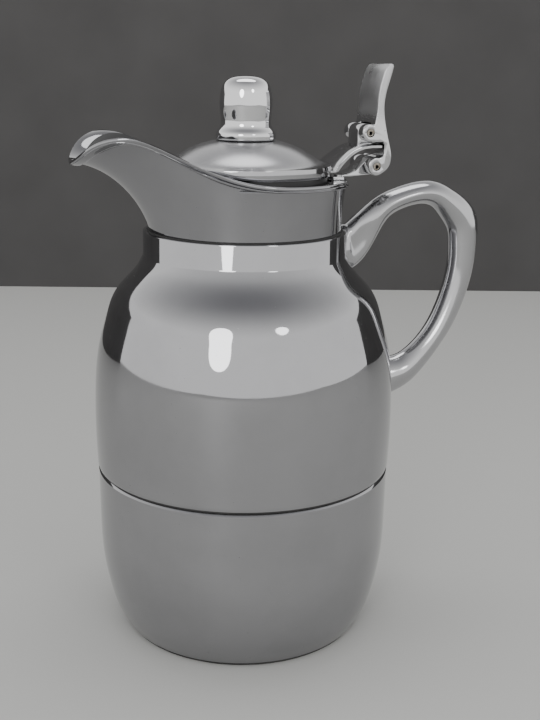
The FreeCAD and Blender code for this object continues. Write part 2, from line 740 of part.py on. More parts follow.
def lid_arm():
    """Pressed strip from the lid's rim to the lever, with a lug for the upper pin."""
    tip_x = upper_pin_x + 5.4
    tip_z = upper_pin_z - 4.5
    foot_x = lid_r - 1.0
    top = [
        (foot_x, lid_rim_z + 2.4), (lid_r + 1.5, lid_rim_z + 5.2),
        (lid_r + 4.3, lid_rim_z + 7.7), (lid_r + 8.7, lid_rim_z + 10.9),
        (upper_pin_x - 3.8, tip_z - 0.8), (upper_pin_x, tip_z - 0.1), (tip_x, tip_z),
    ]
    bottom = inset(list(reversed(top)), arm_t)
    bottom[-1] = (foot_x, lid_rim_z + 0.3)
    strip = extruded(lever_half + arm_flare, top, bottom)
    half = lever_half
    wide = half + arm_flare
    flare = [(foot_x, half + arm_flare), (lid_r + 3.5, half + 0.35 * arm_flare), (lid_r + 8.5, half)]
    low, high = lid_rim_z - 5, tip_z + 5
    edges = [
        edge_through([Vector(x, y, low) for x, y in flare]),
        edge_through([Vector(flare[-1][0], half, low), Vector(tip_x + 1, half, low)]),
        edge_through([Vector(tip_x + 1, half, low), Vector(tip_x + 1, -half, low)]),
        edge_through([Vector(tip_x + 1, -half, low), Vector(flare[-1][0], -half, low)]),
        edge_through([Vector(x, -y, low) for x, y in reversed(flare)]),
        edge_through([Vector(foot_x, -wide, low), Vector(foot_x, wide, low)]),
    ]
    plan = Part.Face(Part.Wire(edges)).extrude(Vector(0, 0, high - low))
    strip = strip.common(plan)
    strip = strip.cut(Part.makeCylinder(lid_r + push_gap, 40, Vector(0, 0, lid_rim_z - 10)))
    lug = extruded(
        knuckle_half,
        [(upper_pin_x - upper_knuckle_r, upper_pin_z)], [(upper_pin_x + upper_knuckle_r, upper_pin_z)],
        [(upper_pin_x + upper_knuckle_r, tip_z - 0.6)], [(upper_pin_x - upper_knuckle_r, tip_z - 1.6)],
    )
    knuckle = rod_y(upper_knuckle_r, upper_pin_x, upper_pin_z, knuckle_half)
    arm = strip.fuse([lug, knuckle])
    arm = arm.cut(rod_y(pin_r + pin_gap, upper_pin_x, upper_pin_z, lever_half * 2))
    for y in (-rivet_y, rivet_y):
        arm = arm.cut(rod_x(rivet_r + push_gap, 20, lid_r + 12, y, rivet_z))
    return arm.removeSplitter()


def lid_rivets():
    """Two rivets through the lid's rim into the arm's foot."""
    rivets = []
    for y in (-rivet_y, rivet_y):
        face_x = math.sqrt((lid_r - lid_wall) ** 2 - y ** 2)
        rivets.append(rod_x(rivet_r, face_x - 0.6, face_x + 3.6, y, rivet_z))
    return Part.makeCompound(rivets)


def lid_cap_drilled():
    cap = lid_cap()
    for y in (-rivet_y, rivet_y):
        cap = cap.cut(rod_x(rivet_r + push_gap, 20, lid_r + 2, y, rivet_z))
    return cap


def lid_liner_notched():
    """The liner's wall is cleared behind the two rivets."""
    liner = lid_liner()
    for y in (-rivet_y, rivet_y):
        liner = liner.cut(rod_x(rivet_r + 0.5, 20, lid_r + 2, y, rivet_z))
    return liner


def thumb_lever():
    """Cast lever: curved thumb plate, web, and two pairs of ears with a notch between them."""
    front = [
        (upper_pin_x + 8.2, upper_pin_z + 28.6), (upper_pin_x + 6.4, upper_pin_z + 27.4),
        (upper_pin_x + 4.9, upper_pin_z + 24.3), (upper_pin_x + 3.0, upper_pin_z + 16.2),
        (upper_pin_x + 2.7, upper_pin_z + 8.0), (upper_pin_x + 1.6, upper_pin_z + 3.3),
    ]
    notch = [
        [(upper_pin_x + 0.5, upper_pin_z - 3.5), (lower_pin_x + 3.0, lower_pin_z + 10.4)],
        [(lower_pin_x + 3.1, lower_pin_z + 4.6), (lower_pin_x + 0.6, lower_pin_z + 3.7)],
    ]
    back = [
        (lower_pin_x + 1.8, lower_pin_z - 3.4), (lower_pin_x + 5.3, lower_pin_z - 0.8),
        (lower_pin_x + 6.7, lower_pin_z + 2.9), (lower_pin_x + 5.5, lower_pin_z + 9.5),
        (lower_pin_x + 3.2, lower_pin_z + 18.4), (lower_pin_x + 2.4, lower_pin_z + 25.6),
        (lower_pin_x + 3.4, lower_pin_z + 32.2), (lower_pin_x + 6.0, lower_pin_z + 40.8),
        (upper_pin_x + 9.3, upper_pin_z + 28.2),
    ]
    body = extruded(lever_half, front, *notch, back)
    ears = [rod_y(upper_knuckle_r, upper_pin_x, upper_pin_z, lever_half),
            rod_y(lower_knuckle_r, lower_pin_x, lower_pin_z, lever_half)]
    lever = body.fuse(ears).removeSplitter()
    slot = knuckle_half + side_gap
    lever = lever.cut(slab(upper_pin_x - 10, upper_pin_x + 5.0, slot,
                           upper_pin_z - 5.0, upper_pin_z + upper_knuckle_r + 1.2))
    lever = lever.cut(slab(lower_pin_x - 10, lower_pin_x + 12, slot,
                           lower_pin_z - 8.0, lower_pin_z + lower_knuckle_r + 0.6))
    for x, z in ((upper_pin_x, upper_pin_z), (lower_pin_x, lower_pin_z)):
        lever = lever.cut(rod_y(pin_r + pin_gap, x, z, 2 * lever_half))
    return lever


def hinge_pin(x, z):
    """Rolled spring pin, hollow, flush with the lever's sides."""
    return rod_y(pin_r, x, z, lever_half - 0.1).cut(rod_y(pin_bore_r, x, z, lever_half))


def hinge_bracket():
    """Bracket on the collar's ledge: flat foot, a strap over the rolled edge, lower barrel."""
    low = foot_z()
    inner_x = ledge_r + plate_in
    outer_x = inner_x + plate_w
    over = collar_point(0, 90).z + collar_wall + rim_clear
    rim_x = neck_r + bead_out + rim_clear
    strap = extruded(
        knuckle_half,
        [(inner_x + 0.6, low)], [(outer_x - 0.6, low)], [(outer_x, over)], [(rim_x, over)],
        [(lower_pin_x + 1.0, lower_pin_z - lower_knuckle_r + 0.1)],
        [(lower_pin_x - 2.6, lower_pin_z + 2.7)],
        [(rim_x + 2.6, low + 3.6)], [(rim_x - 1.4, low + 2.0)], [(inner_x + 0.6, low + plate_t)],
    )
    foot = ring(inner_x, outer_x, low, low + plate_t)
    foot = foot.common(slab(inner_x - 4, outer_x + 1, plate_half, low - 1, low + plate_t + 1))
    barrel = rod_y(lower_knuckle_r, lower_pin_x, lower_pin_z, knuckle_half)
    bracket = foot.fuse([strap, barrel])
    bracket = bracket.cut(rod_y(pin_r + pin_gap, lower_pin_x, lower_pin_z, 2 * lever_half))
    for hole in bracket_rods(bracket_screw_r + push_gap, -1.0, plate_t + 1.0):
        bracket = bracket.cut(hole)
    return largest(bracket).removeSplitter()


def bracket_screws():
    """Two round-headed screws through the foot into the collar's ledge."""
    head_z = plate_t + push_gap
    shanks = bracket_rods(bracket_screw_r, -seat_gap - ledge_t, head_z + 0.1)
    heads = bracket_rods(bracket_head_r, head_z, head_z + bracket_head_h)
    screws = [shank.fuse(head).removeSplitter() for shank, head in zip(shanks, heads)]
    return Part.makeCompound(screws)


# ---- handle ----
# Each station: centre x and z, lean of the cross-section from the horizontal in degrees, half
# thickness in the handle's plane, half width along Y. The upper places count from the neck's
# side and top, the lower ones from the belly and the shell's lower edge.

upper_stations = [
    (-5.0, -10.2, 92, 11.0, root_half),
    (2.2, -9.1, 100, 10.6, root_half),
    (7.8, -4.8, 118, 8.5, root_half - 0.7),
    (14.5, 3.3, 124, 6.5, handle_half + 0.2),
    (24.0, 10.9, 106, 5.1, handle_half),
    (37.2, 14.5, 90, 5.1, handle_half),
    (50.0, 10.2, 66, 6.3, handle_half),
]
lower_stations = [
    (35.8, 106.2, 40, 7.9, handle_half),
    (37.5, 94.6, 4, 6.9, handle_half),
    (36.1, 79.5, -12, 6.3, handle_half),
    (31.3, 64.0, -22, 6.0, handle_half),
    (23.2, 49.6, -38, 5.8, handle_half),
    (12.4, 38.2, -56, 7.2, handle_half + 0.4),
    (1.8, 34.0, -74, 9.2, root_half),
    (-6.2, 32.2, -80, 10.2, root_half),
]
handle_stations = [(neck_r + x, neck_top + z, *rest) for x, z, *rest in upper_stations]
handle_stations += [(shell_belly_r + x, shell_foot_z + z, *rest) for x, z, *rest in lower_stations]
ridge = 1.15               # 1 gives an ellipse, more gives a soft ridge along each side
section_points = 24


def handle_section(x, z, lean, half_t, half_w):
    """A closed smooth section, between an ellipse and a lozenge."""
    across = Vector(math.cos(math.radians(lean)), 0, math.sin(math.radians(lean)))
    points = []
    for i in range(section_points):
        angle = 2 * math.pi * i / section_points
        c, s = math.cos(angle), math.sin(angle)
        u = math.copysign(abs(c) ** ridge, c) * half_t
        v = math.copysign(abs(s) ** ridge, s) * half_w
        points.append(Vector(x, 0, z) + across * u + Vector(0, v, 0))
    curve = Part.BSplineCurve()
    shares = [i / section_points for i in range(section_points + 1)]
    curve.interpolate(Points=points, Parameters=shares, PeriodicFlag=True)
    return Part.Wire([curve.toShape()])


def handle():
    """Cast loop handle; its two roots stand on the neck and on the shell's side."""
    loop = Part.makeLoft([handle_section(*station) for station in handle_stations], True, False)
    lower, upper = solid_body()
    grip = largest(largest(loop.cut(lower)).cut(upper))
    for tip_x, z in ((upper_screw_tip, upper_screw_z), (lower_screw_tip, lower_screw_z)):
        grip = grip.cut(rod_x(screw_r + push_gap, 30, tip_x + 0.3, 0, z))
    return grip


def inner_wall_x(z):
    """Where the shell's inside stands at Y = 0 and height z."""
    if z > shoulder_top:
        return neck_r - body_wall
    side = edge_through([Vector(r, 0, height) for r, height in shell_line])
    level = Part.makeLine(Vector(0, 0, z), Vector(2 * shell_belly_r, 0, z))
    return side.distToShape(level)[1][0][0].x - body_wall


def handle_screws():
    screws = []
    for z, tip_x in ((upper_screw_z, upper_screw_tip), (lower_screw_z, lower_screw_tip)):
        seat_x = inner_wall_x(z) - washer_seat - washer_t - push_gap
        shank = rod_x(screw_r, seat_x - 0.1, tip_x, 0, z)
        head = rod_x(screw_head_r, seat_x - screw_head_h, seat_x, 0, z)
        screws.append(shank.fuse(head).removeSplitter())
    return Part.makeCompound(screws)


def handle_washers():
    washers = []
    for z in (upper_screw_z, lower_screw_z):
        seat_x = inner_wall_x(z) - washer_seat
        washer = rod_x(washer_r if z < shoulder_top else screw_head_r, seat_x - washer_t, seat_x, 0, z)
        washers.append(washer.cut(rod_x(screw_r + push_gap, 20, 90, 0, z)))
    return Part.makeCompound(washers)


pieces = {
    "foot_ring": foot_ring(),
    "base_cup": base_cup(),
    "base_plug": base_plug(),
    "seam_gasket": seam_gasket(),
    "joint_ring": joint_ring(),
    "body_shell": body_shell(),
    "flask_cushion": flask_cushion(),
    "flask_outer": flask_outer(),
    "flask_inner": flask_inner(),
    "flask_spacers": flask_spacers(),
    "mouth_gasket": mouth_gasket(),
    "neck_gasket": neck_gasket(),
    "neck_nut": neck_nut(),
    "collar_spout": collar_spout(),
    "spout_lining": spout_lining(),
    "pour_insert": pour_insert(),
    "handle": handle(),
    "handle_screws": handle_screws(),
    "handle_washers": handle_washers(),
    "hinge_bracket": hinge_bracket(),
    "bracket_screws": bracket_screws(),
    "thumb_lever": thumb_lever(),
    "upper_pin": hinge_pin(upper_pin_x, upper_pin_z),
    "lower_pin": hinge_pin(lower_pin_x, lower_pin_z),
    "lid_cap": lid_cap_drilled(),
    "lid_liner": lid_liner_notched(),
    "lid_insulation": lid_insulation(),
    "lid_arm": lid_arm(),
    "lid_rivets": lid_rivets(),
    "stopper": stopper(),
    "stopper_seal": stopper_seal(),
    "knob": knob(),
    "knob_stud": knob_stud(),
    "knob_nut": knob_nut(),
}
for name, shape in pieces.items():
    save(name, shape)
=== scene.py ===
import json
import math

import bmesh
import bpy
import numpy as np
from mathutils import Matrix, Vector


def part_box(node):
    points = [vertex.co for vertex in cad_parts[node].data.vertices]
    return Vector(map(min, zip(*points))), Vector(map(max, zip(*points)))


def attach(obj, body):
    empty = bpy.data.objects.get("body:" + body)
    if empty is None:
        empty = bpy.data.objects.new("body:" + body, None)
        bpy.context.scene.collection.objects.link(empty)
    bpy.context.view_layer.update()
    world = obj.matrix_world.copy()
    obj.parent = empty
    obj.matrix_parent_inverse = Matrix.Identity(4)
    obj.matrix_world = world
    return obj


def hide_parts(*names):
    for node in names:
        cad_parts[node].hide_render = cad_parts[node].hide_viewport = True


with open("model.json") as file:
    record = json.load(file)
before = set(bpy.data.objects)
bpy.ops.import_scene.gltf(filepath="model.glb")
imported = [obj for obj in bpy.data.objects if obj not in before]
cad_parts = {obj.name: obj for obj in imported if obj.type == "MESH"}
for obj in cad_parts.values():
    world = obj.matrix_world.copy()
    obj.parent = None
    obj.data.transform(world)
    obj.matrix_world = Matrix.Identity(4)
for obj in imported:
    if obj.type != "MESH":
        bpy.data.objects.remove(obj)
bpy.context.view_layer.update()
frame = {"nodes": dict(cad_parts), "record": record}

mm = 0.001


# ---- Camera, floor and light ----
# A short telephoto view, 15 degrees round towards the spout and level with the lever's top. The
# jug stands on a pale matt table before a low dark screen, under a soft even sky and three panels.

stand_off = 457 * mm
around = math.radians(15.0)
camera_data = bpy.data.cameras.new("camera")
camera_data.lens = 53.0
camera_data.sensor_width = 36.0
camera_data.clip_start = 0.02
camera_data.clip_end = 20.0
camera = bpy.data.objects.new("camera", camera_data)
bpy.context.scene.collection.objects.link(camera)
bpy.context.scene.camera = camera
camera_z = 247 * mm
aim_aside, look_down, tilt = (math.radians(angle) for angle in (1.46, 15.4, 0.84))
camera.location = (-stand_off * math.sin(around), -stand_off * math.cos(around), camera_z)
heading = Matrix.Rotation(-around - aim_aside, 3, "Z")
pitch = Matrix.Rotation(math.pi / 2 - look_down, 3, "X")
roll = Matrix.Rotation(tilt, 3, "Z")
camera.rotation_euler = (heading @ pitch @ roll).to_euler()


def new_material(name, colour, metallic, roughness):
    """A Principled material whose plain values sit on the shader's own sockets."""
    material = bpy.data.materials.new(name)
    material.use_nodes = True
    shader = material.node_tree.nodes["Principled BSDF"]
    shader.inputs["Base Color"].default_value = (*colour, 1.0)
    shader.inputs["Metallic"].default_value = metallic
    shader.inputs["Roughness"].default_value = roughness
    return material, material.node_tree, shader


def noise(tree, scale, detail=2.0, stretch=(1, 1, 1), turn=(0, 0, 0), rough=0.5):
    """Noise in the piece's own coordinates, in cells per metre, stretched and turned."""
    place = tree.nodes.new("ShaderNodeTexCoord")
    mapping = tree.nodes.new("ShaderNodeMapping")
    mapping.inputs["Scale"].default_value = stretch
    mapping.inputs["Rotation"].default_value = turn
    texture = tree.nodes.new("ShaderNodeTexNoise")
    texture.inputs["Scale"].default_value = scale
    texture.inputs["Detail"].default_value = detail
    texture.inputs["Roughness"].default_value = rough
    tree.links.new(place.outputs["Object"], mapping.inputs["Vector"])
    tree.links.new(mapping.outputs["Vector"], texture.inputs["Vector"])
    return texture.outputs["Fac"]


def remap(tree, value, low, high, to_low, to_high):
    """The value stretched from one range to another and clamped."""
    node = tree.nodes.new("ShaderNodeMapRange")
    for socket, number in zip(("From Min", "From Max", "To Min", "To Max"),
                              (low, high, to_low, to_high)):
        node.inputs[socket].default_value = number
    tree.links.new(value, node.inputs["Value"])
    return node.outputs["Result"]


def combine(tree, kind, first, second):
    """Two values put together by one sum, product, greatest or least."""
    node = tree.nodes.new("ShaderNodeMath")
    node.operation = kind
    tree.links.new(first, node.inputs[0])
    tree.links.new(second, node.inputs[1])
    return node.outputs["Value"]


def tint(tree, value, dark, light):
    """A colour between two, chosen by the value."""
    ramp = tree.nodes.new("ShaderNodeValToRGB")
    ramp.color_ramp.elements[0].color = (*dark, 1)
    ramp.color_ramp.elements[1].color = (*light, 1)
    tree.links.new(value, ramp.inputs["Fac"])
    return ramp.outputs["Color"]


def bump(tree, shader, height, depth):
    """Small relief from the height value, depth metres from lowest to highest."""
    node = tree.nodes.new("ShaderNodeBump")
    node.inputs["Strength"].default_value = 1.0
    node.inputs["Distance"].default_value = depth
    tree.links.new(height, node.inputs["Height"])
    tree.links.new(node.outputs["Normal"], shader.inputs["Normal"])


def stage_sheet(name, corners, paint):
    """A flat sheet of the studio with one finish; it is no part of the jug."""
    mesh = bpy.data.meshes.new(name)
    mesh.from_pydata(corners, [], [(0, 1, 2, 3)])
    mesh.materials.append(paint)
    sheet = bpy.data.objects.new(name, mesh)
    bpy.context.scene.collection.objects.link(sheet)


floor_paint, tree, shader = new_material("pale_floor", (0.55, 0.55, 0.535), 0.0, 0.6)
tree.links.new(remap(tree, noise(tree, 900, detail=3), 0.3, 0.7, 0.5, 0.68),
               shader.inputs["Roughness"])
reach = 3.0
stage_sheet("floor", [(-reach, -reach, 0), (reach, -reach, 0), (reach, reach, 0),
                      (-reach, reach, 0)], floor_paint)

wall_paint, tree, shader = new_material("dark_wall", (0.06, 0.058, 0.058), 0.0, 0.8)
tree.links.new(remap(tree, noise(tree, 14, detail=4), 0.3, 0.7, 0.7, 0.9),
               shader.inputs["Roughness"])
wall_far, wall_half, wall_tall = 0.75, 2.4, 0.6
behind = wall_far * np.array([math.sin(around), math.cos(around)])
aside = wall_half * np.array([math.cos(around), -math.sin(around)])
wall_feet = (behind - aside, behind + aside)
stage_sheet("studio_wall", [(*wall_feet[0], 0), (*wall_feet[1], 0), (*wall_feet[1], wall_tall),
                            (*wall_feet[0], wall_tall)], wall_paint)

world = bpy.data.worlds.new("studio")
bpy.context.scene.world = world
world.use_nodes = True
tree = world.node_tree
place = tree.nodes.new("ShaderNodeTexCoord")
split = tree.nodes.new("ShaderNodeSeparateXYZ")
tree.links.new(place.outputs["Generated"], split.inputs["Vector"])
sky = remap(tree, split.outputs["Z"], 0.36, 0.97, 0, 1)
tree.links.new(tint(tree, sky, (1.0, 1.0, 0.99), (0.26, 0.26, 0.27)),
               tree.nodes["Background"].inputs["Color"])
tree.nodes["Background"].inputs["Strength"].default_value = 1.45


def soft_panel(name, place, aim, wide, tall, power):
    """A soft round light at place, facing aim."""
    data = bpy.data.lights.new(name, "AREA")
    data.shape = "ELLIPSE"
    data.size = wide
    data.size_y = tall
    data.energy = power
    light = bpy.data.objects.new(name, data)
    bpy.context.scene.collection.objects.link(light)
    forward = np.array(aim, float) - np.array(place)
    forward /= np.linalg.norm(forward)
    side = np.cross(forward, (0, 0, 1))
    side /= np.linalg.norm(side)
    up = np.cross(side, forward)
    turn = Matrix(np.array([side, up, -forward]).T.tolist())
    light.matrix_world = Matrix.Translation(place) @ turn.to_4x4()


soft_panel("panel_key", (-1.15, -1.7, 0.95), (0, 0, 0.14), 0.7, 0.8, 7)
soft_panel("panel_fill", (0.6, -1.9, 1.15), (0, 0, 0.14), 0.4, 0.4, 2)
soft_panel("panel_top", (0.1, 0.35, 1.9), (0, 0, 0.1), 1.5, 0.9, 10)


# ---- Base cup ----
# A deep pressed steel cup, chromed. Its rim is turned in to a bright bevel under the seam, and
# its floor is raised inside a groove that holds the rubber foot ring.

def smooth_line(points, count):
    """Points on a smooth curve: each coordinate is a cubic spline over the chord length, with
    no bend at its two ends. The spline's bends at the given points solve one linear system."""
    points = np.asarray(points, float)
    chord = np.concatenate([[0], np.cumsum(np.linalg.norm(np.diff(points, axis=0), axis=1))])
    size = len(points)
    step = np.diff(chord)
    system = np.eye(size)
    slope = np.zeros_like(points)
    inner = np.arange(1, size - 1)
    system[inner, inner - 1] = step[:-1]
    system[inner, inner] = 2 * (step[:-1] + step[1:])
    system[inner, inner + 1] = step[1:]
    rise = np.diff(points, axis=0) / step[:, None]
    slope[1:-1] = 6 * np.diff(rise, axis=0)
    bend = np.linalg.solve(system, slope)
    at = np.linspace(0, chord[-1], count)
    span = np.clip(np.searchsorted(chord, at, side="right") - 1, 0, size - 2)
    a = ((chord[span + 1] - at) / step[span])[:, None]
    b = 1 - a
    width = (step[span] ** 2)[:, None]
    return (a * points[span] + b * points[span + 1]
            + ((a ** 3 - a) * bend[span] + (b ** 3 - b) * bend[span + 1]) * width / 6)


def inset(line, depth):
    """The line moved to its left by depth: each point goes square to the local direction."""
    along = np.gradient(line, axis=0)
    along /= np.linalg.norm(along, axis=1)[:, None]
    return line + depth * np.stack([-along[:, 1], along[:, 0]], axis=1)


def rounded(corners, radii, steps=6):
    """A closed outline whose corners are arcs: each arc is a rational quadratic curve between the
    points at radius / tan(half the corner's angle) from the corner, at most 0.45 of a side."""
    corners = np.asarray(corners, float)
    radii = np.broadcast_to(radii, (len(corners),))
    back = np.roll(corners, 1, axis=0) - corners
    ahead = np.roll(corners, -1, axis=0) - corners
    reach_back, reach_ahead = np.linalg.norm(back, axis=1), np.linalg.norm(ahead, axis=1)
    back, ahead = back / reach_back[:, None], ahead / reach_ahead[:, None]
    half = np.arccos(np.clip((back * ahead).sum(1), -1, 1)) / 2
    trim = np.minimum(radii / np.tan(half), 0.45 * np.minimum(reach_back, reach_ahead))
    t = np.linspace(0, 1, steps)[None, :, None]
    weight = np.sin(half)[:, None, None]
    first = (corners + back * trim[:, None])[:, None]
    last = (corners + ahead * trim[:, None])[:, None]
    share = (1 - t) ** 2 + 2 * t * (1 - t) * weight + t ** 2
    arcs = ((1 - t) ** 2 * first + 2 * t * (1 - t) * weight * corners[:, None]
            + t ** 2 * last) / share
    return arcs.reshape(-1, 2)


def finished(name, mesh, sharp=32.0):
    """The mesh as an object: doubles welded, faces turned outward, smooth but for sharp edges."""
    form = bmesh.new()
    form.from_mesh(mesh)
    bmesh.ops.remove_doubles(form, verts=form.verts, dist=2e-6)
    bmesh.ops.recalc_face_normals(form, faces=form.faces)
    form.to_mesh(mesh)
    form.free()
    mesh.shade_smooth()
    mesh.set_sharp_from_angle(angle=math.radians(sharp))
    piece = bpy.data.objects.new(name, mesh)
    bpy.context.scene.collection.objects.link(piece)
    return piece


def surface(name, grids, sharp=32.0):
    """A piece from grids of points, rows by columns. Each grid comes with its way of closing:
    rows and columns that wrap round, or columns that wrap and two capped end rows."""
    places, faces, count = [], [], 0
    for grid, closing in grids:
        rows, columns = grid.shape[:2]
        number = count + np.arange(rows * columns).reshape(rows, columns)
        around = np.concatenate([number, number[:, :1]], axis=1)
        if closing == "wrap":
            around = np.concatenate([around, around[:1]])
        quads = np.stack([around[:-1, :-1], around[:-1, 1:], around[1:, 1:], around[1:, :-1]], -1)
        faces += quads.reshape(-1, 4).tolist()
        if closing == "cap":
            faces += [number[0, ::-1].tolist(), number[-1].tolist()]
        places.append(grid.reshape(-1, 3))
        count += rows * columns
    mesh = bpy.data.meshes.new(name)
    mesh.from_pydata(np.concatenate(places).tolist(), [], faces)
    return finished(name, mesh, sharp)


def turned(outline, turns=288):
    """The closed outline of (radius, height) pairs carried round Z in equal steps."""
    angle = np.linspace(0, 2 * np.pi, turns, endpoint=False)
    r, z = outline[:, 0][:, None], outline[:, 1][:, None]
    return np.stack([r * np.cos(angle), r * np.sin(angle), z + 0 * angle], axis=-1), "wrap"


def dress(piece, material, body, slot, *nodes):
    """Gives the piece its finish and its body, and hides the CAD nodes that it stands for. The slot
    is not used.
    """
    piece.data.materials.clear()
    piece.data.materials.append(material)
    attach(piece, body)
    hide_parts(*nodes)


def chrome(name, colour, rough, waviness=0.5, wear=1.0):
    """Bright plating: long hair scratches from wiping, faint smears, dust-sized specks and a
    slow waviness of the metal under it."""
    material, tree, shader = new_material(name, colour, 1.0, rough)
    hair = noise(tree, 260, detail=5, stretch=(1, 1, 16), turn=(0.2, 0.1, 0), rough=0.7)
    cross = noise(tree, 210, detail=5, stretch=(14, 1.5, 1), turn=(0.4, 0.5, 0.9), rough=0.7)
    scratch = combine(tree, "MAXIMUM", remap(tree, hair, 0.62, 0.74, 0, 1),
                      remap(tree, cross, 0.64, 0.76, 0, 1))
    smear = remap(tree, noise(tree, 28, detail=4, rough=0.6), 0.42, 0.72, 0, 1)
    speck = remap(tree, noise(tree, 900, detail=1), 0.76, 0.80, 0, 1)
    dulled = combine(tree, "ADD", remap(tree, smear, 0, 1, rough, rough + 0.05 * wear),
                     remap(tree, scratch, 0, 1, 0, 0.07 * wear))
    dusty = combine(tree, "ADD", dulled, remap(tree, speck, 0, 1, 0, 0.25 * wear))
    tree.links.new(dusty, shader.inputs["Roughness"])
    dull = tuple(0.86 * c for c in colour)
    worn = combine(tree, "MAXIMUM", remap(tree, smear, 0, 1, 0, 0.6), speck)
    tree.links.new(tint(tree, worn, colour, dull), shader.inputs["Base Color"])
    swell = noise(tree, 22, detail=1)
    relief = combine(tree, "ADD", remap(tree, swell, 0, 1, 0, waviness),
                     remap(tree, scratch, 0, 1, 0, -0.004 * wear))
    bump(tree, shader, relief, 60e-6)
    return material


shell_chrome = chrome("shell_chrome", (0.37, 0.37, 0.38), 0.03)

cup_low, cup_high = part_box("base_cup")
seam_r = cup_high.x
foot_r = seam_r - 10.6 * mm
wall = 1.3 * mm
cup_floor = 5.2 * mm
cup_side = smooth_line([
    (foot_r, cup_low.z), (foot_r + 3.5 * mm, 8.0 * mm), (seam_r - 3.4 * mm, 20 * mm),
    (seam_r - 1.1 * mm, 33 * mm), (seam_r - 0.2 * mm, 52 * mm), (seam_r, cup_high.z - 1.0 * mm),
], 90)
cup_bore = seam_r - 1.7 * mm
plug_bore = 14.9 * mm
groove_in, groove_out, groove_top = foot_r - 6.8 * mm, foot_r - 2.5 * mm, 3.0 * mm
cup_outline = np.concatenate([
    [(plug_bore, cup_floor), (foot_r - 10.4 * mm, cup_floor), (foot_r - 8.6 * mm, cup_low.z),
     (groove_in, cup_low.z), (groove_in, groove_top), (groove_out, groove_top),
     (groove_out, cup_low.z)],
    cup_side,
    [(seam_r - 0.12 * mm, cup_high.z - 0.86 * mm), (seam_r - 0.78 * mm, cup_high.z - 0.1 * mm),
     (seam_r - 1.0 * mm, cup_high.z), (cup_bore, cup_high.z)],
    np.minimum(inset(cup_side, wall)[84:12:-1], (cup_bore, 1)),
    [(foot_r - 3 * mm, cup_floor + 1.6 * mm), (plug_bore, cup_floor + 1.6 * mm)],
])
base_cup = surface("base_cup_chromed", [turned(cup_outline)])
dress(base_cup, shell_chrome, "jug", "chrome_shell", "base_cup")


# ---- Upper body shell ----
# The deep-drawn upper half: a full belly, a rounded shoulder and a straight neck whose top is
# turned in to carry the collar. Polished and chromed like the cup.

shell_low, shell_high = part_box("body_shell")
belly_r, neck_r = shell_high.x, 44.0 * mm
shoulder_top = shell_high.z - 10.1 * mm
tall, wide = shoulder_top - shell_low.z, belly_r - neck_r
mouth_r = 37.9 * mm
shell_points = [(belly_r - drop * wide, shell_low.z + share * tall) for drop, share in (
    (0.027, 0), (0, 0.2), (0.009, 0.34), (0.05, 0.49), (0.14, 0.61), (0.265, 0.713),
    (0.39, 0.797), (0.54, 0.852), (0.735, 0.901), (0.9, 0.951), (1.0, 1.0))]
shell_side = smooth_line(shell_points, 170)
shell_outline = np.concatenate([
    [(cup_bore, shell_low.z), (belly_r - 1.5 * mm, shell_low.z),
     (belly_r - 0.85 * mm, shell_low.z + 0.1 * mm)],
    shell_side[2:],
    [(neck_r, shell_high.z - 0.5 * mm), (neck_r - 0.15 * mm, shell_high.z - 0.15 * mm),
     (neck_r - 0.5 * mm, shell_high.z), (mouth_r, shell_high.z),
     (mouth_r, shell_high.z - wall), (neck_r - wall, shell_high.z - wall)],
    np.minimum(inset(shell_side, wall)[-4:12:-1], (cup_bore + 0.9 * mm, 1)),
    [(cup_bore, shell_low.z + 14 * mm)],
])
body_shell = surface("body_shell_chromed", [turned(shell_outline)])
dress(body_shell, shell_chrome, "jug", "chrome_shell", "body_shell")


# ---- Collar and spout ----
# One casting, chromed: a round foot that sits on the neck, walls that hollow outwards to a wide
# spout, a rolled edge all round and a flat ledge inside the rim beside and behind the lid.

def ring_spline(stations, at):
    """A closed smooth curve: a cubic spline over the turn, periodic, whose slopes at the stations
    solve one cyclic linear system. Stations are (turn in degrees, place)."""
    knots = np.array([turn for turn, _ in stations], float)
    places = np.array([place for _, place in stations], float)
    size = len(knots)
    step = np.diff(np.append(knots, knots[0] + 360))
    rise = (np.roll(places, -1, axis=0) - places) / step[:, None]
    before = np.roll(step, 1)
    index = np.arange(size)
    system = np.zeros((size, size))
    system[index, index - 1] += step
    system[index, index] += 2 * (step + before)
    system[index, (index + 1) % size] += before
    right = 3 * (step[:, None] * np.roll(rise, 1, axis=0) + before[:, None] * rise)
    slope = np.linalg.solve(system, right)
    at = np.mod(at, 360)
    span = np.searchsorted(knots, at, side="right") - 1
    h = step[span]
    t = ((at - knots[span]) / h)[:, None]
    h = h[:, None]
    ahead = (span + 1) % size
    return ((2 * t ** 3 - 3 * t ** 2 + 1) * places[span]
            + (t ** 3 - 2 * t ** 2 + t) * h * slope[span]
            + (3 * t ** 2 - 2 * t ** 3) * places[ahead] + (t ** 3 - t ** 2) * h * slope[ahead])


collar_foot_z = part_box("collar_spout")[0].z
collar_foot_r = 41.5 * mm
spout_reach = 74.2 * mm
rim_half = [(0, 0.991, 0, 20.0), (30, 0.859, 0.496, 20.1), (60, 0.5, 0.868, 20.4),
            (90, -0.007, 1.0, 21.1), (105, -0.175, 0.955, 23.0), (120, -0.364, 0.827, 27.7),
            (135, -0.553, 0.718, 34.2), (150, -0.768, 0.65, 38.9), (160, -0.895, 0.514, 36.4),
            (170, -0.973, 0.291, 31.0), (180, -1.0, 0.0, 28.4)]
rim_stations = []
for turn, along, across, height in rim_half:
    x = along * (neck_r if along > 0 else spout_reach)
    rim_stations.append((turn, (x, across * neck_r, collar_foot_z + height * mm)))
for turn, place in rim_stations[-2:0:-1]:
    rim_stations.append((360 - turn, (place[0], -place[1], place[2])))

rim_turns = np.linspace(0, 360, 480, endpoint=False)


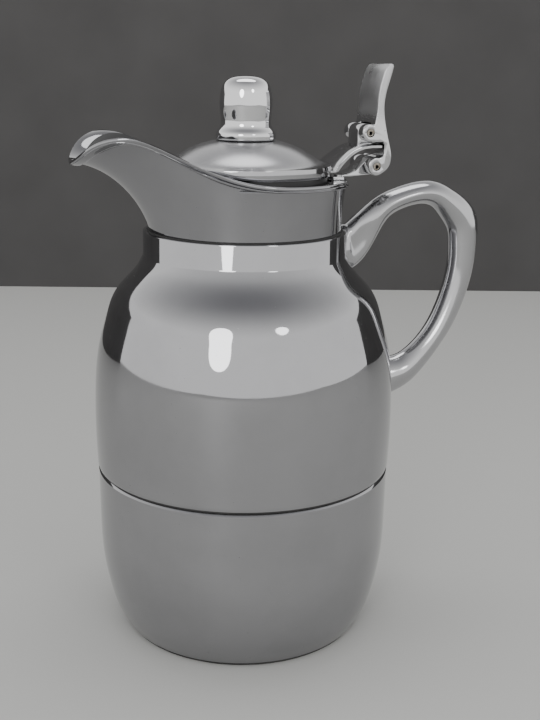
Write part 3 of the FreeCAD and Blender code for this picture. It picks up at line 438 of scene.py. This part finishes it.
def wall_point(turn, rise):
    """A point of the collar's outside. From the round foot to the rim the height follows
    sin(rise); the way out follows 0.25 sin(rise) + 0.75 (1 - cos(rise)), so the wall hollows."""
    rim = ring_spline(rim_stations, turn)
    angle = np.radians(turn)
    climb = np.sin(np.radians(rise))
    spread = 0.25 * climb + 0.75 * (1 - np.cos(np.radians(rise)))
    foot = collar_foot_r * np.stack([np.cos(angle), np.sin(angle)], axis=1)
    plan = foot + (rim[:, :2] - foot) * spread[:, None]
    height = collar_foot_z + (rim[:, 2] - collar_foot_z) * climb
    return np.column_stack([plan, height])


def wall_row(turn, rise, depth, past=0.0):
    """A row round the collar, depth inwards of its outside, square to the wall, and past the
    row along the wall's own line."""
    around_wall = wall_point(turn + 0.5, rise) - wall_point(turn - 0.5, rise)
    up_wall = wall_point(turn, rise) - wall_point(turn, rise - 1)
    up_wall /= np.linalg.norm(up_wall, axis=1)[:, None]
    inward = np.cross(up_wall, around_wall)
    inward /= np.linalg.norm(inward, axis=1)[:, None]
    depth = np.broadcast_to(depth, turn.shape)[:, None]
    past = np.broadcast_to(past, turn.shape)[:, None]
    return wall_point(turn, rise) + inward * depth + up_wall * past


def step_up(value, low, high):
    """0 below low, 1 above high, and a smooth 3t^2 - 2t^3 between."""
    t = np.clip((value - low) / (high - low), 0, 1)
    return t * t * (3 - 2 * t)


round_turn = np.abs(np.mod(rim_turns + 180, 360) - 180)
flank = step_up(round_turn, 84, 118)
front = ((1 - np.cos(np.radians(rim_turns))) / 2) ** 8
bead_rise = 70 - 6 * flank + 16 * front
collar_wall = 1.5 * mm
rows = [wall_row(rim_turns, share * bead_rise, 0) for share in np.linspace(0.0, 1.0, 70)]
for share, proud in ((0.03, 0.05), (0.08, 0.35), (0.14, 0.72), (0.22, 0.9), (0.35, 0.94),
                     (0.5, 0.92), (0.65, 0.84), (0.8, 0.68), (0.9, 0.54)):
    rows.append(wall_row(rim_turns, bead_rise + share * (90 - bead_rise), -proud * mm))
for angle in np.radians(np.linspace(0, 180, 13)):
    rows.append(wall_row(rim_turns, 90 + 0 * rim_turns, 0.42 * mm - 0.82 * mm * np.cos(angle),
                         0.46 * mm * (np.sin(angle) - 1)))
for share in np.linspace(0.93, 0.0, 40):
    rows.append(wall_row(rim_turns, share * 88 + 0 * rim_turns,
                         collar_wall - 0.26 * mm * step_up(share, 0.7, 1.0)))
collar_grid = np.stack(rows)
collar_grid[:, :, 2] = np.maximum(collar_grid[:, :, 2], collar_foot_z)

ledge_half = np.radians(108)
ledge_turn = np.linspace(-ledge_half, ledge_half, 240)
fade = 1 - step_up(np.abs(ledge_turn), np.radians(86), ledge_half)
ledge_out, ledge_edge, ledge_deep = 42.6 * mm, 42.3 * mm, 5.4 * mm
ledge_in = ledge_edge - ledge_deep * fade
ledge_top = collar_foot_z + 20.8 * mm
ledge_rows = []
for inward_share, out, drop in (
        (0, 1.35, 0.85), (0, 1.2, 0.42), (0, 0.85, 0.12), (0, 0.3, 0), (0.94, 0, 0),
        (0.99, 0, 0.08), (1, 0, 0.3), (1, 0, 0.7), (0.97, 0, 0.92), (0.9, 0, 0.95), (0, 0, 0.95)):
    r = ledge_out - (ledge_out - ledge_in) * inward_share + out * mm
    ledge_rows.append(np.stack([r * np.cos(ledge_turn), r * np.sin(ledge_turn),
                                ledge_top - drop * mm + 0 * r], axis=-1))
ledge_grid = np.stack(ledge_rows, axis=1)

collar = surface("collar_and_spout", [(collar_grid, "wrap"), (ledge_grid, "cap")], sharp=40)
collar_chrome = chrome("collar_chrome", (0.30, 0.30, 0.31), 0.03, waviness=0.7)
dress(collar, collar_chrome, "jug", "chrome_collar", "collar_spout")


# ---- Handle ----
# A cast loop, chromed but never polished as finely as the shell: a soft ridge runs along each
# side from root to root. The two roots stand on the neck and on the shell, held from inside.

def swept(line, half_t, half_w, lean, power, scoop, points=96):
    """Sections carried along a line in the XZ plane: each is |cos|^p, |sin|^p, which is an ellipse
    at p = 1 and a lozenge at p = 2, with half_t in the plane and half_w along Y. The sides
    are scooped in by scoop sin^6."""
    angle = np.linspace(0, 2 * np.pi, points, endpoint=False)
    c, s = np.cos(angle), np.sin(angle)
    u = np.sign(c) * np.abs(c) ** power[:, None] * half_t[:, None]
    v = np.sign(s) * (np.abs(s) ** power[:, None] * half_w[:, None] - scoop[:, None] * s ** 6)
    x = line[:, 0][:, None] + np.cos(lean)[:, None] * u
    z = line[:, 1][:, None] + np.sin(lean)[:, None] * u
    return np.stack([x, v, z], axis=-1), "cap"


neck_end, side_foot = shell_high.z, shell_low.z
grip, root = 6.4, 7.6
handle_places = [
    (neck_r - 1.4 * mm, neck_end - 9.9 * mm, 96, 11.0, root),
    (neck_r + 0.3 * mm, neck_end - 9.7 * mm, 98, 10.9, root),
    (neck_r + 2.6 * mm, neck_end - 8.9 * mm, 102, 10.3, root - 0.2),
    (neck_r + 7.8 * mm, neck_end - 4.8 * mm, 118, 8.5, root - 0.7),
    (neck_r + 14.5 * mm, neck_end + 3.3 * mm, 124, 6.5, grip + 0.2),
    (neck_r + 24.0 * mm, neck_end + 10.9 * mm, 106, 5.1, grip),
    (neck_r + 37.2 * mm, neck_end + 14.5 * mm, 90, 5.1, grip),
    (neck_r + 50.0 * mm, neck_end + 10.2 * mm, 61, 6.3, grip),
    (belly_r + 35.8 * mm, side_foot + 106.2 * mm, 33, 7.6, grip),
    (belly_r + 37.5 * mm, side_foot + 94.6 * mm, 4, 6.9, grip),
    (belly_r + 36.1 * mm, side_foot + 79.5 * mm, -12, 6.3, grip),
    (belly_r + 31.3 * mm, side_foot + 64.0 * mm, -22, 6.0, grip),
    (belly_r + 23.2 * mm, side_foot + 49.6 * mm, -38, 5.8, grip),
    (belly_r + 12.4 * mm, side_foot + 38.2 * mm, -56, 7.2, grip + 0.4),
    (belly_r + 1.8 * mm, side_foot + 34.0 * mm, -74, 9.2, root),
    (belly_r - 1.4 * mm, side_foot + 33.2 * mm, -77, 9.6, root),
]
# The two half widths count four times in the spline's chord length, so that they blend evenly.
pull = 4
track = smooth_line([(x / mm, z / mm, lean, pull * t, pull * w)
                     for x, z, lean, t, w in handle_places], 240)
reach_x = track[:, 0] - neck_r / mm
upper_half = track[:, 1] > side_foot / mm + 75
scooped = step_up(reach_x, 1.2, 4.0) * (1 - step_up(reach_x, 8.0, 17.0)) * upper_half
ridge_power, scoop_depth = 1.18, 1.7 * mm
handle_grid = swept(track[:, :2] * mm, track[:, 3] * mm / pull, track[:, 4] * mm / pull,
                    np.radians(track[:, 2]), ridge_power - 0.33 * scooped, scoop_depth * scooped)
handle = surface("handle_loop", [handle_grid], sharp=60)
handle_chrome = chrome("handle_chrome", (0.46, 0.46, 0.47), 0.11, waviness=2.2, wear=1.6)
dress(handle, handle_chrome, "jug", "chrome_handle", "handle")


# ---- Lid ----
# A drawn dome with a slightly hollow edge above an upright rim band, chromed and a little
# dulled by wiping, and a turned knob with a flared foot.

def partly(material, low, high, share_low, share_high):
    """Scales the material's roughness with the height: one share up to low, the other past high."""
    tree = material.node_tree
    rough = tree.nodes["Principled BSDF"].inputs["Roughness"]
    split = tree.nodes.new("ShaderNodeSeparateXYZ")
    tree.links.new(tree.nodes.new("ShaderNodeTexCoord").outputs["Object"], split.inputs["Vector"])
    share = remap(tree, split.outputs["Z"], low, high, share_low, share_high)
    tree.links.new(combine(tree, "MULTIPLY", rough.links[0].from_socket, share), rough)


lid_low, lid_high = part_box("lid_cap")
lid_r = 36.3 * mm
lid_wall = 1.2 * mm
stud_bore = 2.2 * mm
lid_rim_z, lid_top_z = lid_low.z, lid_high.z
skirt_top = lid_rim_z + 4.4 * mm
dome_h = lid_top_z - skirt_top
dome = smooth_line([(share * lid_r, skirt_top + rise * dome_h) for share, rise in (
    (0.985, 0.0), (0.93, 0.05), (0.87, 0.15), (0.79, 0.34), (0.66, 0.62), (0.5, 0.865),
    (0.36, 0.985), (0.3, 1.0))], 70)
lid_outline = np.concatenate([
    [(lid_r - lid_wall, lid_rim_z), (lid_r - 0.25 * mm, lid_rim_z),
     (lid_r - 0.07 * mm, lid_rim_z + 0.07 * mm), (lid_r, lid_rim_z + 0.25 * mm),
     (lid_r, skirt_top - 0.45 * mm), (lid_r - 0.09 * mm, skirt_top - 0.14 * mm)],
    dome,
    [(stud_bore, lid_top_z), (stud_bore, lid_top_z - lid_wall)],
    inset(dome, lid_wall)[-6:6:-1],
    [(lid_r - lid_wall, skirt_top - 0.9 * mm)],
])
lid = surface("lid_dome", [turned(lid_outline)])
lid_chrome = chrome("lid_chrome", (0.42, 0.42, 0.43), 0.24, waviness=0.4, wear=0.5)
partly(lid_chrome, skirt_top - 0.3 * mm, skirt_top + 1.0 * mm, 0.3, 1.0)
dress(lid, lid_chrome, "lid", "chrome_lid", "lid_cap")

knob_low, knob_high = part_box("knob")
knob_tall = knob_high.z - knob_low.z
knob_side = smooth_line([(r * mm, knob_low.z + share * knob_tall) for r, share in (
    (11.6, 0.0), (12.5, 0.017), (12.8, 0.06), (12.75, 0.105), (12.3, 0.145), (11.4, 0.185),
    (10.8, 0.235), (10.6, 0.31), (10.8, 0.41), (11.1, 0.52), (11.05, 0.65), (10.55, 0.775),
    (9.3, 0.885), (6.4, 0.965), (2.8, 0.996))], 120)
knob_bore, knob_solid = 2.1 * mm, 10.4 * mm
knob_outline = np.concatenate([
    [(knob_bore, knob_low.z + 0.02 * mm)], knob_side,
    [(0, knob_high.z), (0, knob_high.z - knob_solid), (knob_bore, knob_high.z - knob_solid)],
])
knob = surface("knob_turned", [turned(knob_outline, 160)], sharp=50)
# The knob has the lid's plating, but its colour is far lighter than the lid's: painted light, so
# the knob looks lit all over.
knob_chrome_painted_bright = chrome("knob_chrome_painted_bright", (0.68, 0.68, 0.69), 0.03, waviness=0.5)
dress(knob, knob_chrome_painted_bright, "lid", "chrome_lid", "knob")


# ---- Lid arm ----
# A pressed strip from the lid's rim up to the lever, wider where it meets the lid, with a lug
# between the lever's upper ears. Two rivets hold it to the rim.

def eye(x, z, hole, outside, half, edge, points=96):
    """A knuckle round a pin along Y: rows go out along one side, over the rounded edges and back
    to the bore; outside gives the radius at each angle."""
    angle = np.linspace(0, 2 * np.pi, points, endpoint=False)
    outer = outside(angle)
    rows = []
    for share, y in ((None, -half), (1.0, -half), (0.3, -half + 0.3 * edge), (0, -half + edge),
                     (0, half - edge), (0.3, half - 0.3 * edge), (1.0, half), (None, half)):
        r = hole + 0 * outer if share is None else outer - share * edge
        rows.append(np.stack([x + r * np.cos(angle), y + 0 * r, z + r * np.sin(angle)], axis=-1))
    return np.stack(rows), "wrap"


def bored(x, z, corners, radius):
    """Radius from a pin to a straight-sided outline, at each angle: the nearest crossing with
    the lines between the corners, or the knuckle's own radius where that is further."""
    corners = np.asarray(corners, float) - (x, z)
    ahead = np.roll(corners, -1, axis=0)

    def outside(angle):
        away = np.stack([np.cos(angle), np.sin(angle)], axis=1)[:, None]
        side = (ahead - corners)[None]
        cross = away[..., 0] * side[..., 1] - away[..., 1] * side[..., 0]
        far = (corners[:, 0] * side[0, :, 1] - corners[:, 1] * side[0, :, 0]) / cross
        along = (corners[:, 0] * away[..., 1] - corners[:, 1] * away[..., 0]) / cross
        hit = np.where((far > 0) & (along >= -1e-6) & (along <= 1 + 1e-6), far, 0).max(axis=1)
        return np.maximum(hit, radius)
    return outside


lower_x, lower_z = 55.3 * mm, 206.8 * mm
upper_x, upper_z = 51.9 * mm, 220.9 * mm
pin_bore = 1.8 * mm
upper_r, lower_r = 3.6 * mm, 3.8 * mm
ear_half, lug_half = 11.75 * mm, 5.9 * mm

arm_tip_x, arm_tip_z = upper_x + 5.4 * mm, upper_z - 4.5 * mm
arm_line = smooth_line([
    (lid_r - 1.0 * mm, lid_rim_z + 2.4 * mm), (lid_r + 1.5 * mm, lid_rim_z + 5.2 * mm),
    (lid_r + 4.3 * mm, lid_rim_z + 7.7 * mm), (lid_r + 8.7 * mm, lid_rim_z + 10.9 * mm),
    (upper_x - 3.8 * mm, arm_tip_z - 0.8 * mm), (upper_x, arm_tip_z - 0.1 * mm),
    (arm_tip_x, arm_tip_z)], 120)
arm_under = inset(arm_line[::-1], 2.5 * mm)[::-1]
arm_section = rounded([(-1, 0), (1, 0), (1, 1), (-1, 1)], 0.32, 7)
arm_at = np.linspace(0, 1, 90)[:, None]
arm_flare = 3.2 * mm * np.interp(arm_at, [0, 0.12, 0.32, 0.42, 1], [1, 0.72, 0.12, 0, 0])
across = (ear_half + arm_flare) * arm_section[:, 0]
# The section's corners are drawn back along Y, so that their rounding is as small as the arm is.
corner_back = (1 - np.abs(arm_section[:, 0])) * 9.9 * mm * (np.abs(arm_section[:, 0]) > 0.6)
across = np.sign(across) * (np.abs(across) - corner_back)
arm_start = np.sqrt((lid_r + 0.05 * mm) ** 2 - across ** 2)
arm_x = arm_start + (arm_tip_x - arm_start) * arm_at
arm_top = np.interp(arm_x, arm_line[:, 0], arm_line[:, 1])
arm_low = np.interp(arm_x, arm_under[:, 0], arm_under[:, 1])
arm_low = np.maximum(arm_low, lid_rim_z + 0.3 * mm)
arm_z = arm_top + (arm_low - arm_top) * arm_section[:, 1]
arm_grid = np.stack([arm_x, across, arm_z], axis=-1)

lug = bored(upper_x, upper_z, [
    (upper_x - upper_r, upper_z), (upper_x - upper_r, arm_tip_z - 1.4 * mm),
    (upper_x + upper_r, arm_tip_z - 0.6 * mm), (upper_x + upper_r, upper_z)], upper_r)
eye_edge = 0.35 * mm
lid_arm = surface("lid_arm_strip", [
    (arm_grid, "cap"), eye(upper_x, upper_z, pin_bore, lug, lug_half, eye_edge)], sharp=35)
hinge_chrome = chrome("hinge_chrome", (0.60, 0.60, 0.61), 0.08, waviness=1.0, wear=1.5)
dress(lid_arm, hinge_chrome, "lid", "chrome_hinge", "lid_arm")


# ---- Thumb lever ----
# A small casting: a hollowed thumb plate with a rounded tip, and below it two pairs of ears on
# the hinge pins. The plate is satin from use; the ears stay bright.

def extruded(outline, half, edge, steps=5):
    """The closed (x, z) outline carried along Y, its end edges rounded: near each end it shrinks
    by edge (1 - sin) while y moves by edge (1 - cos)."""
    angle = np.linspace(0, np.pi / 2, steps)
    shrink = np.concatenate([edge * (1 - np.sin(angle)), edge * (1 - np.sin(angle[::-1]))])
    y = np.concatenate([-half + edge * (1 - np.cos(angle)),
                        half - edge * (1 - np.cos(angle[::-1]))])
    closed = np.concatenate([outline[-2:], outline, outline[:2]])
    rows = []
    for depth, place in zip(shrink, y):
        line = inset(closed, depth)[2:-2]
        rows.append(np.stack([line[:, 0], place + 0 * line[:, 0], line[:, 1]], axis=-1))
    return np.stack(rows), "cap"


def arc(x, z, r, first, last, count):
    """Points round (x, z) from one angle to another, in degrees."""
    angle = np.radians(np.linspace(first, last, count))
    return np.stack([x + r * np.cos(angle), z + r * np.sin(angle)], axis=1)


def box_grid(low, high):
    """A plain box: four corners low, the same four high."""
    corners = np.array([(low[0], low[1]), (high[0], low[1]),
                        (high[0], high[1]), (low[0], high[1])])
    rows = [np.column_stack([corners, np.full(4, level)]) for level in (low[2], high[2])]
    return np.stack(rows), "cap"


def rod_grid(x, z, r, half, points=48):
    """A plain rod along Y."""
    ring = arc(x, z, r, 0, 360, points + 1)[:-1]
    rows = [np.stack([ring[:, 0], np.full(points, y), ring[:, 1]], axis=-1)
            for y in (-half, half)]
    return np.stack(rows), "cap"


def cut_away(piece, *grids):
    """Takes the tools' shapes out of the piece with exact booleans, then removes the tools."""
    tools = [surface("tool", [grid]) for grid in grids]
    for tool in tools:
        change = piece.modifiers.new("cut", "BOOLEAN")
        change.operation = "DIFFERENCE"
        change.solver = "EXACT"
        change.object = tool
    edges = piece.modifiers.new("edges", "BEVEL")
    edges.width = 0.16 * mm
    edges.segments = 2
    edges.limit_method = "ANGLE"
    edges.angle_limit = math.radians(50)
    edges.use_clamp_overlap = True
    bpy.context.view_layer.update()
    shape = bpy.data.meshes.new_from_object(piece.evaluated_get(
        bpy.context.evaluated_depsgraph_get()))
    piece.modifiers.clear()
    piece.data = shape
    shape.shade_smooth()
    shape.set_sharp_from_angle(angle=math.radians(35))
    for tool in tools:
        bpy.data.objects.remove(tool)


lever_front = smooth_line([
    (upper_x + 7.2 * mm, upper_z + 28.3 * mm), (upper_x + 6.2 * mm, upper_z + 27.0 * mm),
    (upper_x + 4.9 * mm, upper_z + 23.8 * mm), (upper_x + 3.2 * mm, upper_z + 16.2 * mm),
    (upper_x + 2.7 * mm, upper_z + 8.4 * mm), (upper_x + 1.9 * mm, upper_z + 3.6 * mm)], 60)
lever_back = smooth_line([
    (lower_x + 2.1 * mm, lower_z - 3.1 * mm), (lower_x + 5.1 * mm, lower_z - 0.8 * mm),
    (lower_x + 6.5 * mm, lower_z + 2.9 * mm), (lower_x + 5.5 * mm, lower_z + 9.5 * mm),
    (lower_x + 3.3 * mm, lower_z + 18.4 * mm), (lower_x + 2.5 * mm, lower_z + 25.6 * mm),
    (lower_x + 3.5 * mm, lower_z + 32.2 * mm), (lower_x + 5.6 * mm, lower_z + 39.6 * mm),
    (lower_x + 6.0 * mm, lower_z + 41.4 * mm)], 90)
lever_tip = smooth_line([lever_back[-1], (lower_x + 5.7 * mm, lower_z + 42.35 * mm),
                         (lower_x + 4.7 * mm, lower_z + 42.65 * mm), lever_front[0]], 16)[1:-1]
lever_outline = np.concatenate([
    lever_front, arc(upper_x, upper_z, upper_r, 66, 274, 48),
    [(upper_x + 1.4 * mm, upper_z - 3.8 * mm), (lower_x + 2.4 * mm, lower_z + 10.3 * mm),
     (lower_x + 3.0 * mm, lower_z + 9.8 * mm), (lower_x + 3.1 * mm, lower_z + 5.2 * mm),
     (lower_x + 2.5 * mm, lower_z + 4.3 * mm), (lower_x + 1.4 * mm, lower_z + 3.8 * mm)],
    arc(lower_x, lower_z, lower_r, 80, 300, 48),
    lever_back, lever_tip,
])
lever = surface("thumb_lever_cast", [extruded(lever_outline, ear_half, 0.55 * mm)], sharp=35)
slot_half, slot_top = lug_half + 0.25 * mm, 4.15 * mm
through = 20 * mm
cut_away(lever,
         box_grid((upper_x - 10 * mm, -slot_half, upper_z - 5 * mm),
                  (upper_x + 5 * mm, slot_half, upper_z + slot_top)),
         box_grid((lower_x - 10 * mm, -slot_half, lower_z - 8 * mm),
                  (lower_x + 12 * mm, slot_half, lower_z + slot_top)),
         rod_grid(upper_x, upper_z, pin_bore, through),
         rod_grid(lower_x, lower_z, pin_bore, through))
lever_chrome = chrome("lever_chrome", (0.58, 0.58, 0.59), 0.08, waviness=0.8, wear=1.2)
partly(lever_chrome, upper_z + 3 * mm, upper_z + 9 * mm, 1.0, 3.4)
dress(lever, lever_chrome, "lever", "chrome_hinge", "thumb_lever")


# ---- Hinge pins ----
# Coiled spring pins: a strip of dark spring steel rolled one turn and a half, its spiral
# showing at both ends.

strip_t, strip_pitch, strip_turns = 0.42 * mm, 0.47 * mm, 1.6


def coiled(name, x, z, r, half):
    """A spiral strip along Y: its outer edge loses the pitch of radius a turn. The outline goes in
    along the outer edge and back along the inner one, and quads across it close the two ends."""
    angle = np.linspace(0, strip_turns * 2 * np.pi, 90)
    outer = r - strip_pitch * np.clip(angle / (2 * np.pi) - 0.02, 0, 2)
    inner = outer - strip_t
    line = np.concatenate([
        np.stack([x + outer * np.cos(angle), z + outer * np.sin(angle)], axis=1),
        np.stack([x + inner * np.cos(angle), z + inner * np.sin(angle)], axis=1)[::-1]])
    size = len(line)
    places = np.concatenate([np.stack([line[:, 0], np.full(size, y), line[:, 1]], axis=-1)
                             for y in (-half, half)])
    low, high = np.arange(size), np.arange(size) + size
    ahead = np.roll(low, -1)
    here = np.arange(size // 2 - 1)
    back = size - 1 - here
    faces = [np.stack([low, ahead, high[ahead], high], -1),
             np.stack([here, back, back - 1, here + 1], -1),
             np.stack([high[here], high[here + 1], high[back - 1], high[back]], -1)]
    mesh = bpy.data.meshes.new(name)
    mesh.from_pydata(places.tolist(), [], np.concatenate(faces).tolist())
    return finished(name, mesh, 35.0)


pin_steel, tree, shader = new_material("pin_steel", (0.36, 0.33, 0.29), 1.0, 0.38)
age = remap(tree, noise(tree, 900, detail=4), 0.35, 0.7, 0, 1)
tree.links.new(tint(tree, age, (0.42, 0.40, 0.36), (0.24, 0.20, 0.16)),
               shader.inputs["Base Color"])
tree.links.new(remap(tree, age, 0, 1, 0.3, 0.55), shader.inputs["Roughness"])
for pin_name, x, z in (("upper_pin", upper_x, upper_z), ("lower_pin", lower_x, lower_z)):
    pin = coiled(pin_name + "_coiled", x, z, pin_bore - 0.06 * mm, ear_half - 0.1 * mm)
    dress(pin, pin_steel, "lever", "pin_steel", pin_name)


# ---- Hinge bracket ----
# A small casting behind the lid: a flat foot on the collar's ledge, held by two screws, a strap
# over the rolled edge and the barrel that turns on the lower pin.

bracket_z = ledge_top + 0.1 * mm
foot_in, foot_out, foot_t, foot_half = 37.7 * mm, 42.2 * mm, 1.3 * mm, 10.0 * mm
foot_line = rounded([
    (foot_in, bracket_z), (foot_out, bracket_z), (foot_out, bracket_z + foot_t),
    (foot_in, bracket_z + foot_t)], 0.3 * mm)
foot_turn = np.arcsin(foot_half / (40 * mm)) * np.linspace(-1, 1, 40)[:, None]
foot_grid = np.stack([foot_line[:, 0] * np.cos(foot_turn), foot_line[:, 0] * np.sin(foot_turn),
                      foot_line[:, 1] + 0 * foot_turn], axis=-1)
over_rim = bracket_z + 1.1 * mm
strap_outline = rounded([
    (foot_in + 0.6 * mm, bracket_z), (foot_out - 0.6 * mm, bracket_z), (foot_out, over_rim),
    (45.4 * mm, over_rim),
    (lower_x + 1.0 * mm, lower_z - 3.7 * mm), (lower_x - 2.6 * mm, lower_z + 2.7 * mm),
    (48.0 * mm, bracket_z + 3.6 * mm), (44.0 * mm, bracket_z + 2.0 * mm),
    (foot_in + 0.6 * mm, bracket_z + foot_t)],
    [r * mm for r in (0.5, 0.35, 0.35, 0.8, 0.6, 0.6, 3, 2, 0.5)])
strap = extruded(strap_outline, lug_half, 0.3 * mm)
bracket = surface("hinge_bracket_cast", [(foot_grid, "cap"), strap], sharp=35)
cut_away(bracket, rod_grid(lower_x, lower_z, lower_r - 0.1 * mm, through))
barrel = surface("hinge_barrel", [
    eye(lower_x, lower_z, pin_bore, lambda angle: lower_r + 0 * angle, lug_half, eye_edge)])
dress(bracket, hinge_chrome, "jug", "chrome_hinge", "hinge_bracket")
dress(barrel, hinge_chrome, "jug", "chrome_hinge", "hinge_bracket")


# ---- Foot ring ----
# A moulded rubber ring pressed into the cup's groove; it keeps the jug from sliding.

rubber, tree, shader = new_material("black_rubber", (0.016, 0.016, 0.016), 0.0, 0.7)
dust = remap(tree, noise(tree, 500, detail=5), 0.45, 0.75, 0, 1)
tree.links.new(tint(tree, dust, (0.014, 0.014, 0.014), (0.04, 0.038, 0.036)),
               shader.inputs["Base Color"])
tree.links.new(remap(tree, dust, 0, 1, 0.6, 0.85), shader.inputs["Roughness"])
bump(tree, shader, noise(tree, 1500, detail=2), 30e-6)

ring_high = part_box("foot_ring")[1]
ring_r, ring_in = ring_high.x, ring_high.x - 6.7 * mm
tread_h, ring_play = 1.6 * mm, 0.1 * mm
foot_outline = np.concatenate([
    rounded([(ring_in, 0), (ring_r, 0), (ring_r, tread_h), (groove_out - ring_play, tread_h)],
            (0.4 * mm, 0.5 * mm, 0.3 * mm, 0.01 * mm)),
    [(groove_out - ring_play, ring_high.z), (groove_in + ring_play, ring_high.z),
     (groove_in + ring_play, tread_h), (ring_in, tread_h)]])
foot = surface("foot_ring_moulded", [turned(foot_outline, 192)])
dress(foot, rubber, "jug", "black_rubber", "foot_ring")


# ---- Lid underside and stopper ----
# The lid's lower cup, the stopper and the silicone seal, moulded plastic parts that show
# when the lid is open. Edges carry the mould's small radii.

plastic, tree, shader = new_material("black_plastic", (0.02, 0.02, 0.021), 0.0, 0.38)
tree.links.new(remap(tree, noise(tree, 40, detail=4), 0.4, 0.7, 0.32, 0.5),
               shader.inputs["Roughness"])
bump(tree, shader, noise(tree, 1400, detail=3), 14e-6)

liner_low, liner_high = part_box("lid_liner")
liner_r, liner_t = liner_high.x, 1.6 * mm
liner_outline = rounded([
    (0, liner_low.z), (liner_r - 2 * mm, liner_low.z), (liner_r, liner_low.z + 2 * mm),
    (liner_r, liner_high.z), (liner_r - liner_t, liner_high.z),
    (liner_r - liner_t, liner_low.z + liner_t), (0, liner_low.z + liner_t)],
    (0, 0.8 * mm, 0.8 * mm, 0.2 * mm, 0.2 * mm, 0.5 * mm, 0))
liner = surface("lid_liner_moulded", [turned(liner_outline, 192)])
dress(liner, plastic, "lid", "black_plastic", "lid_liner")

stop_low, stop_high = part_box("stopper")
flange_r, flange_z = stop_high.x, stop_high.z - 3.1 * mm
stop_r = 21.6 * mm
stop_outline = rounded([
    (0, stop_low.z + 1.2 * mm), (12.4 * mm, stop_low.z + 1.2 * mm), (13.4 * mm, stop_low.z),
    (17.0 * mm, stop_low.z), (stop_r, 188 * mm), (stop_r, flange_z),
    (flange_r, flange_z), (flange_r, stop_high.z), (0, stop_high.z)],
    (0, 0.4 * mm, 0.4 * mm, 1.0 * mm, 2 * mm, 0.1 * mm, 0.4 * mm, 0.3 * mm, 0))
stopper = surface("stopper_moulded", [turned(stop_outline, 192)])
dress(stopper, plastic, "lid", "black_plastic", "stopper")

silicone, tree, shader = new_material("silicone", (0.74, 0.73, 0.70), 0.0, 0.42)
stain = remap(tree, noise(tree, 90, detail=4), 0.45, 0.75, 0, 1)
tree.links.new(tint(tree, stain, (0.76, 0.75, 0.72), (0.66, 0.61, 0.53)),
               shader.inputs["Base Color"])
tree.links.new(remap(tree, stain, 0, 1, 0.36, 0.55), shader.inputs["Roughness"])
shader.inputs["Subsurface Weight"].default_value = 0.25
shader.inputs["Subsurface Scale"].default_value = 1.5 * mm

seal_low, seal_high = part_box("stopper_seal")
seal_bore = stop_r + 0.05 * mm
seal_outline = rounded([
    (seal_bore, seal_low.z), (seal_high.x, seal_low.z), (seal_high.x, seal_high.z),
    (seal_bore, seal_high.z)], (0.2 * mm, 0.8 * mm, 0.8 * mm, 0.2 * mm))
seal = surface("stopper_seal_moulded", [turned(seal_outline, 192)])
dress(seal, silicone, "lid", "clear_silicone", "stopper_seal")


# ---- Inner parts and fasteners ----
# What the shell hides or barely shows keeps the shape it was drawn with: the silvered flask, its
# pads and gaskets, the pouring insert, the nuts, screws, washers and rivets.

glass, tree, shader = new_material("silvered_glass", (0.80, 0.81, 0.82), 1.0, 0.04)
streak = remap(tree, noise(tree, 60, detail=4, stretch=(1, 1, 0.2)), 0.4, 0.75, 0, 1)
tree.links.new(tint(tree, streak, (0.82, 0.83, 0.84), (0.66, 0.66, 0.64)),
               shader.inputs["Base Color"])
tree.links.new(remap(tree, streak, 0, 1, 0.03, 0.12), shader.inputs["Roughness"])
shader.inputs["Coat Weight"].default_value = 1.0
shader.inputs["Coat Roughness"].default_value = 0.02

steel, tree, shader = new_material("plain_steel", (0.55, 0.55, 0.56), 1.0, 0.32)
brushed = remap(tree, noise(tree, 700, detail=5, stretch=(0.1, 1, 1)), 0.3, 0.75, 0, 1)
tree.links.new(tint(tree, brushed, (0.58, 0.58, 0.59), (0.44, 0.43, 0.42)),
               shader.inputs["Base Color"])
tree.links.new(remap(tree, brushed, 0, 1, 0.26, 0.45), shader.inputs["Roughness"])

felt, tree, shader = new_material("pressed_fibre", (0.50, 0.45, 0.38), 0.0, 0.95)
fibre = noise(tree, 1800, detail=5, stretch=(1, 1, 4))
tree.links.new(tint(tree, fibre, (0.40, 0.36, 0.30), (0.62, 0.57, 0.49)),
               shader.inputs["Base Color"])
bump(tree, shader, fibre, 120e-6)

foam, tree, shader = new_material("rigid_foam", (0.80, 0.77, 0.68), 0.0, 0.9)
cells = noise(tree, 1100, detail=2)
tree.links.new(tint(tree, cells, (0.72, 0.69, 0.60), (0.85, 0.83, 0.76)),
               shader.inputs["Base Color"])
bump(tree, shader, cells, 200e-6)

finishes = {
    "silvered_glass": glass, "steel": steel, "felt_pad": felt, "foam": foam,
    "black_plastic": plastic, "black_rubber": rubber, "clear_silicone": silicone,
}
slots = {part["node"]: part["material_slot"] for part in frame["record"]["subparts"]}
for node, part in frame["nodes"].items():
    if slots[node] in finishes and not part.hide_render:
        part.data.materials.clear()
        part.data.materials.append(finishes[slots[node]])
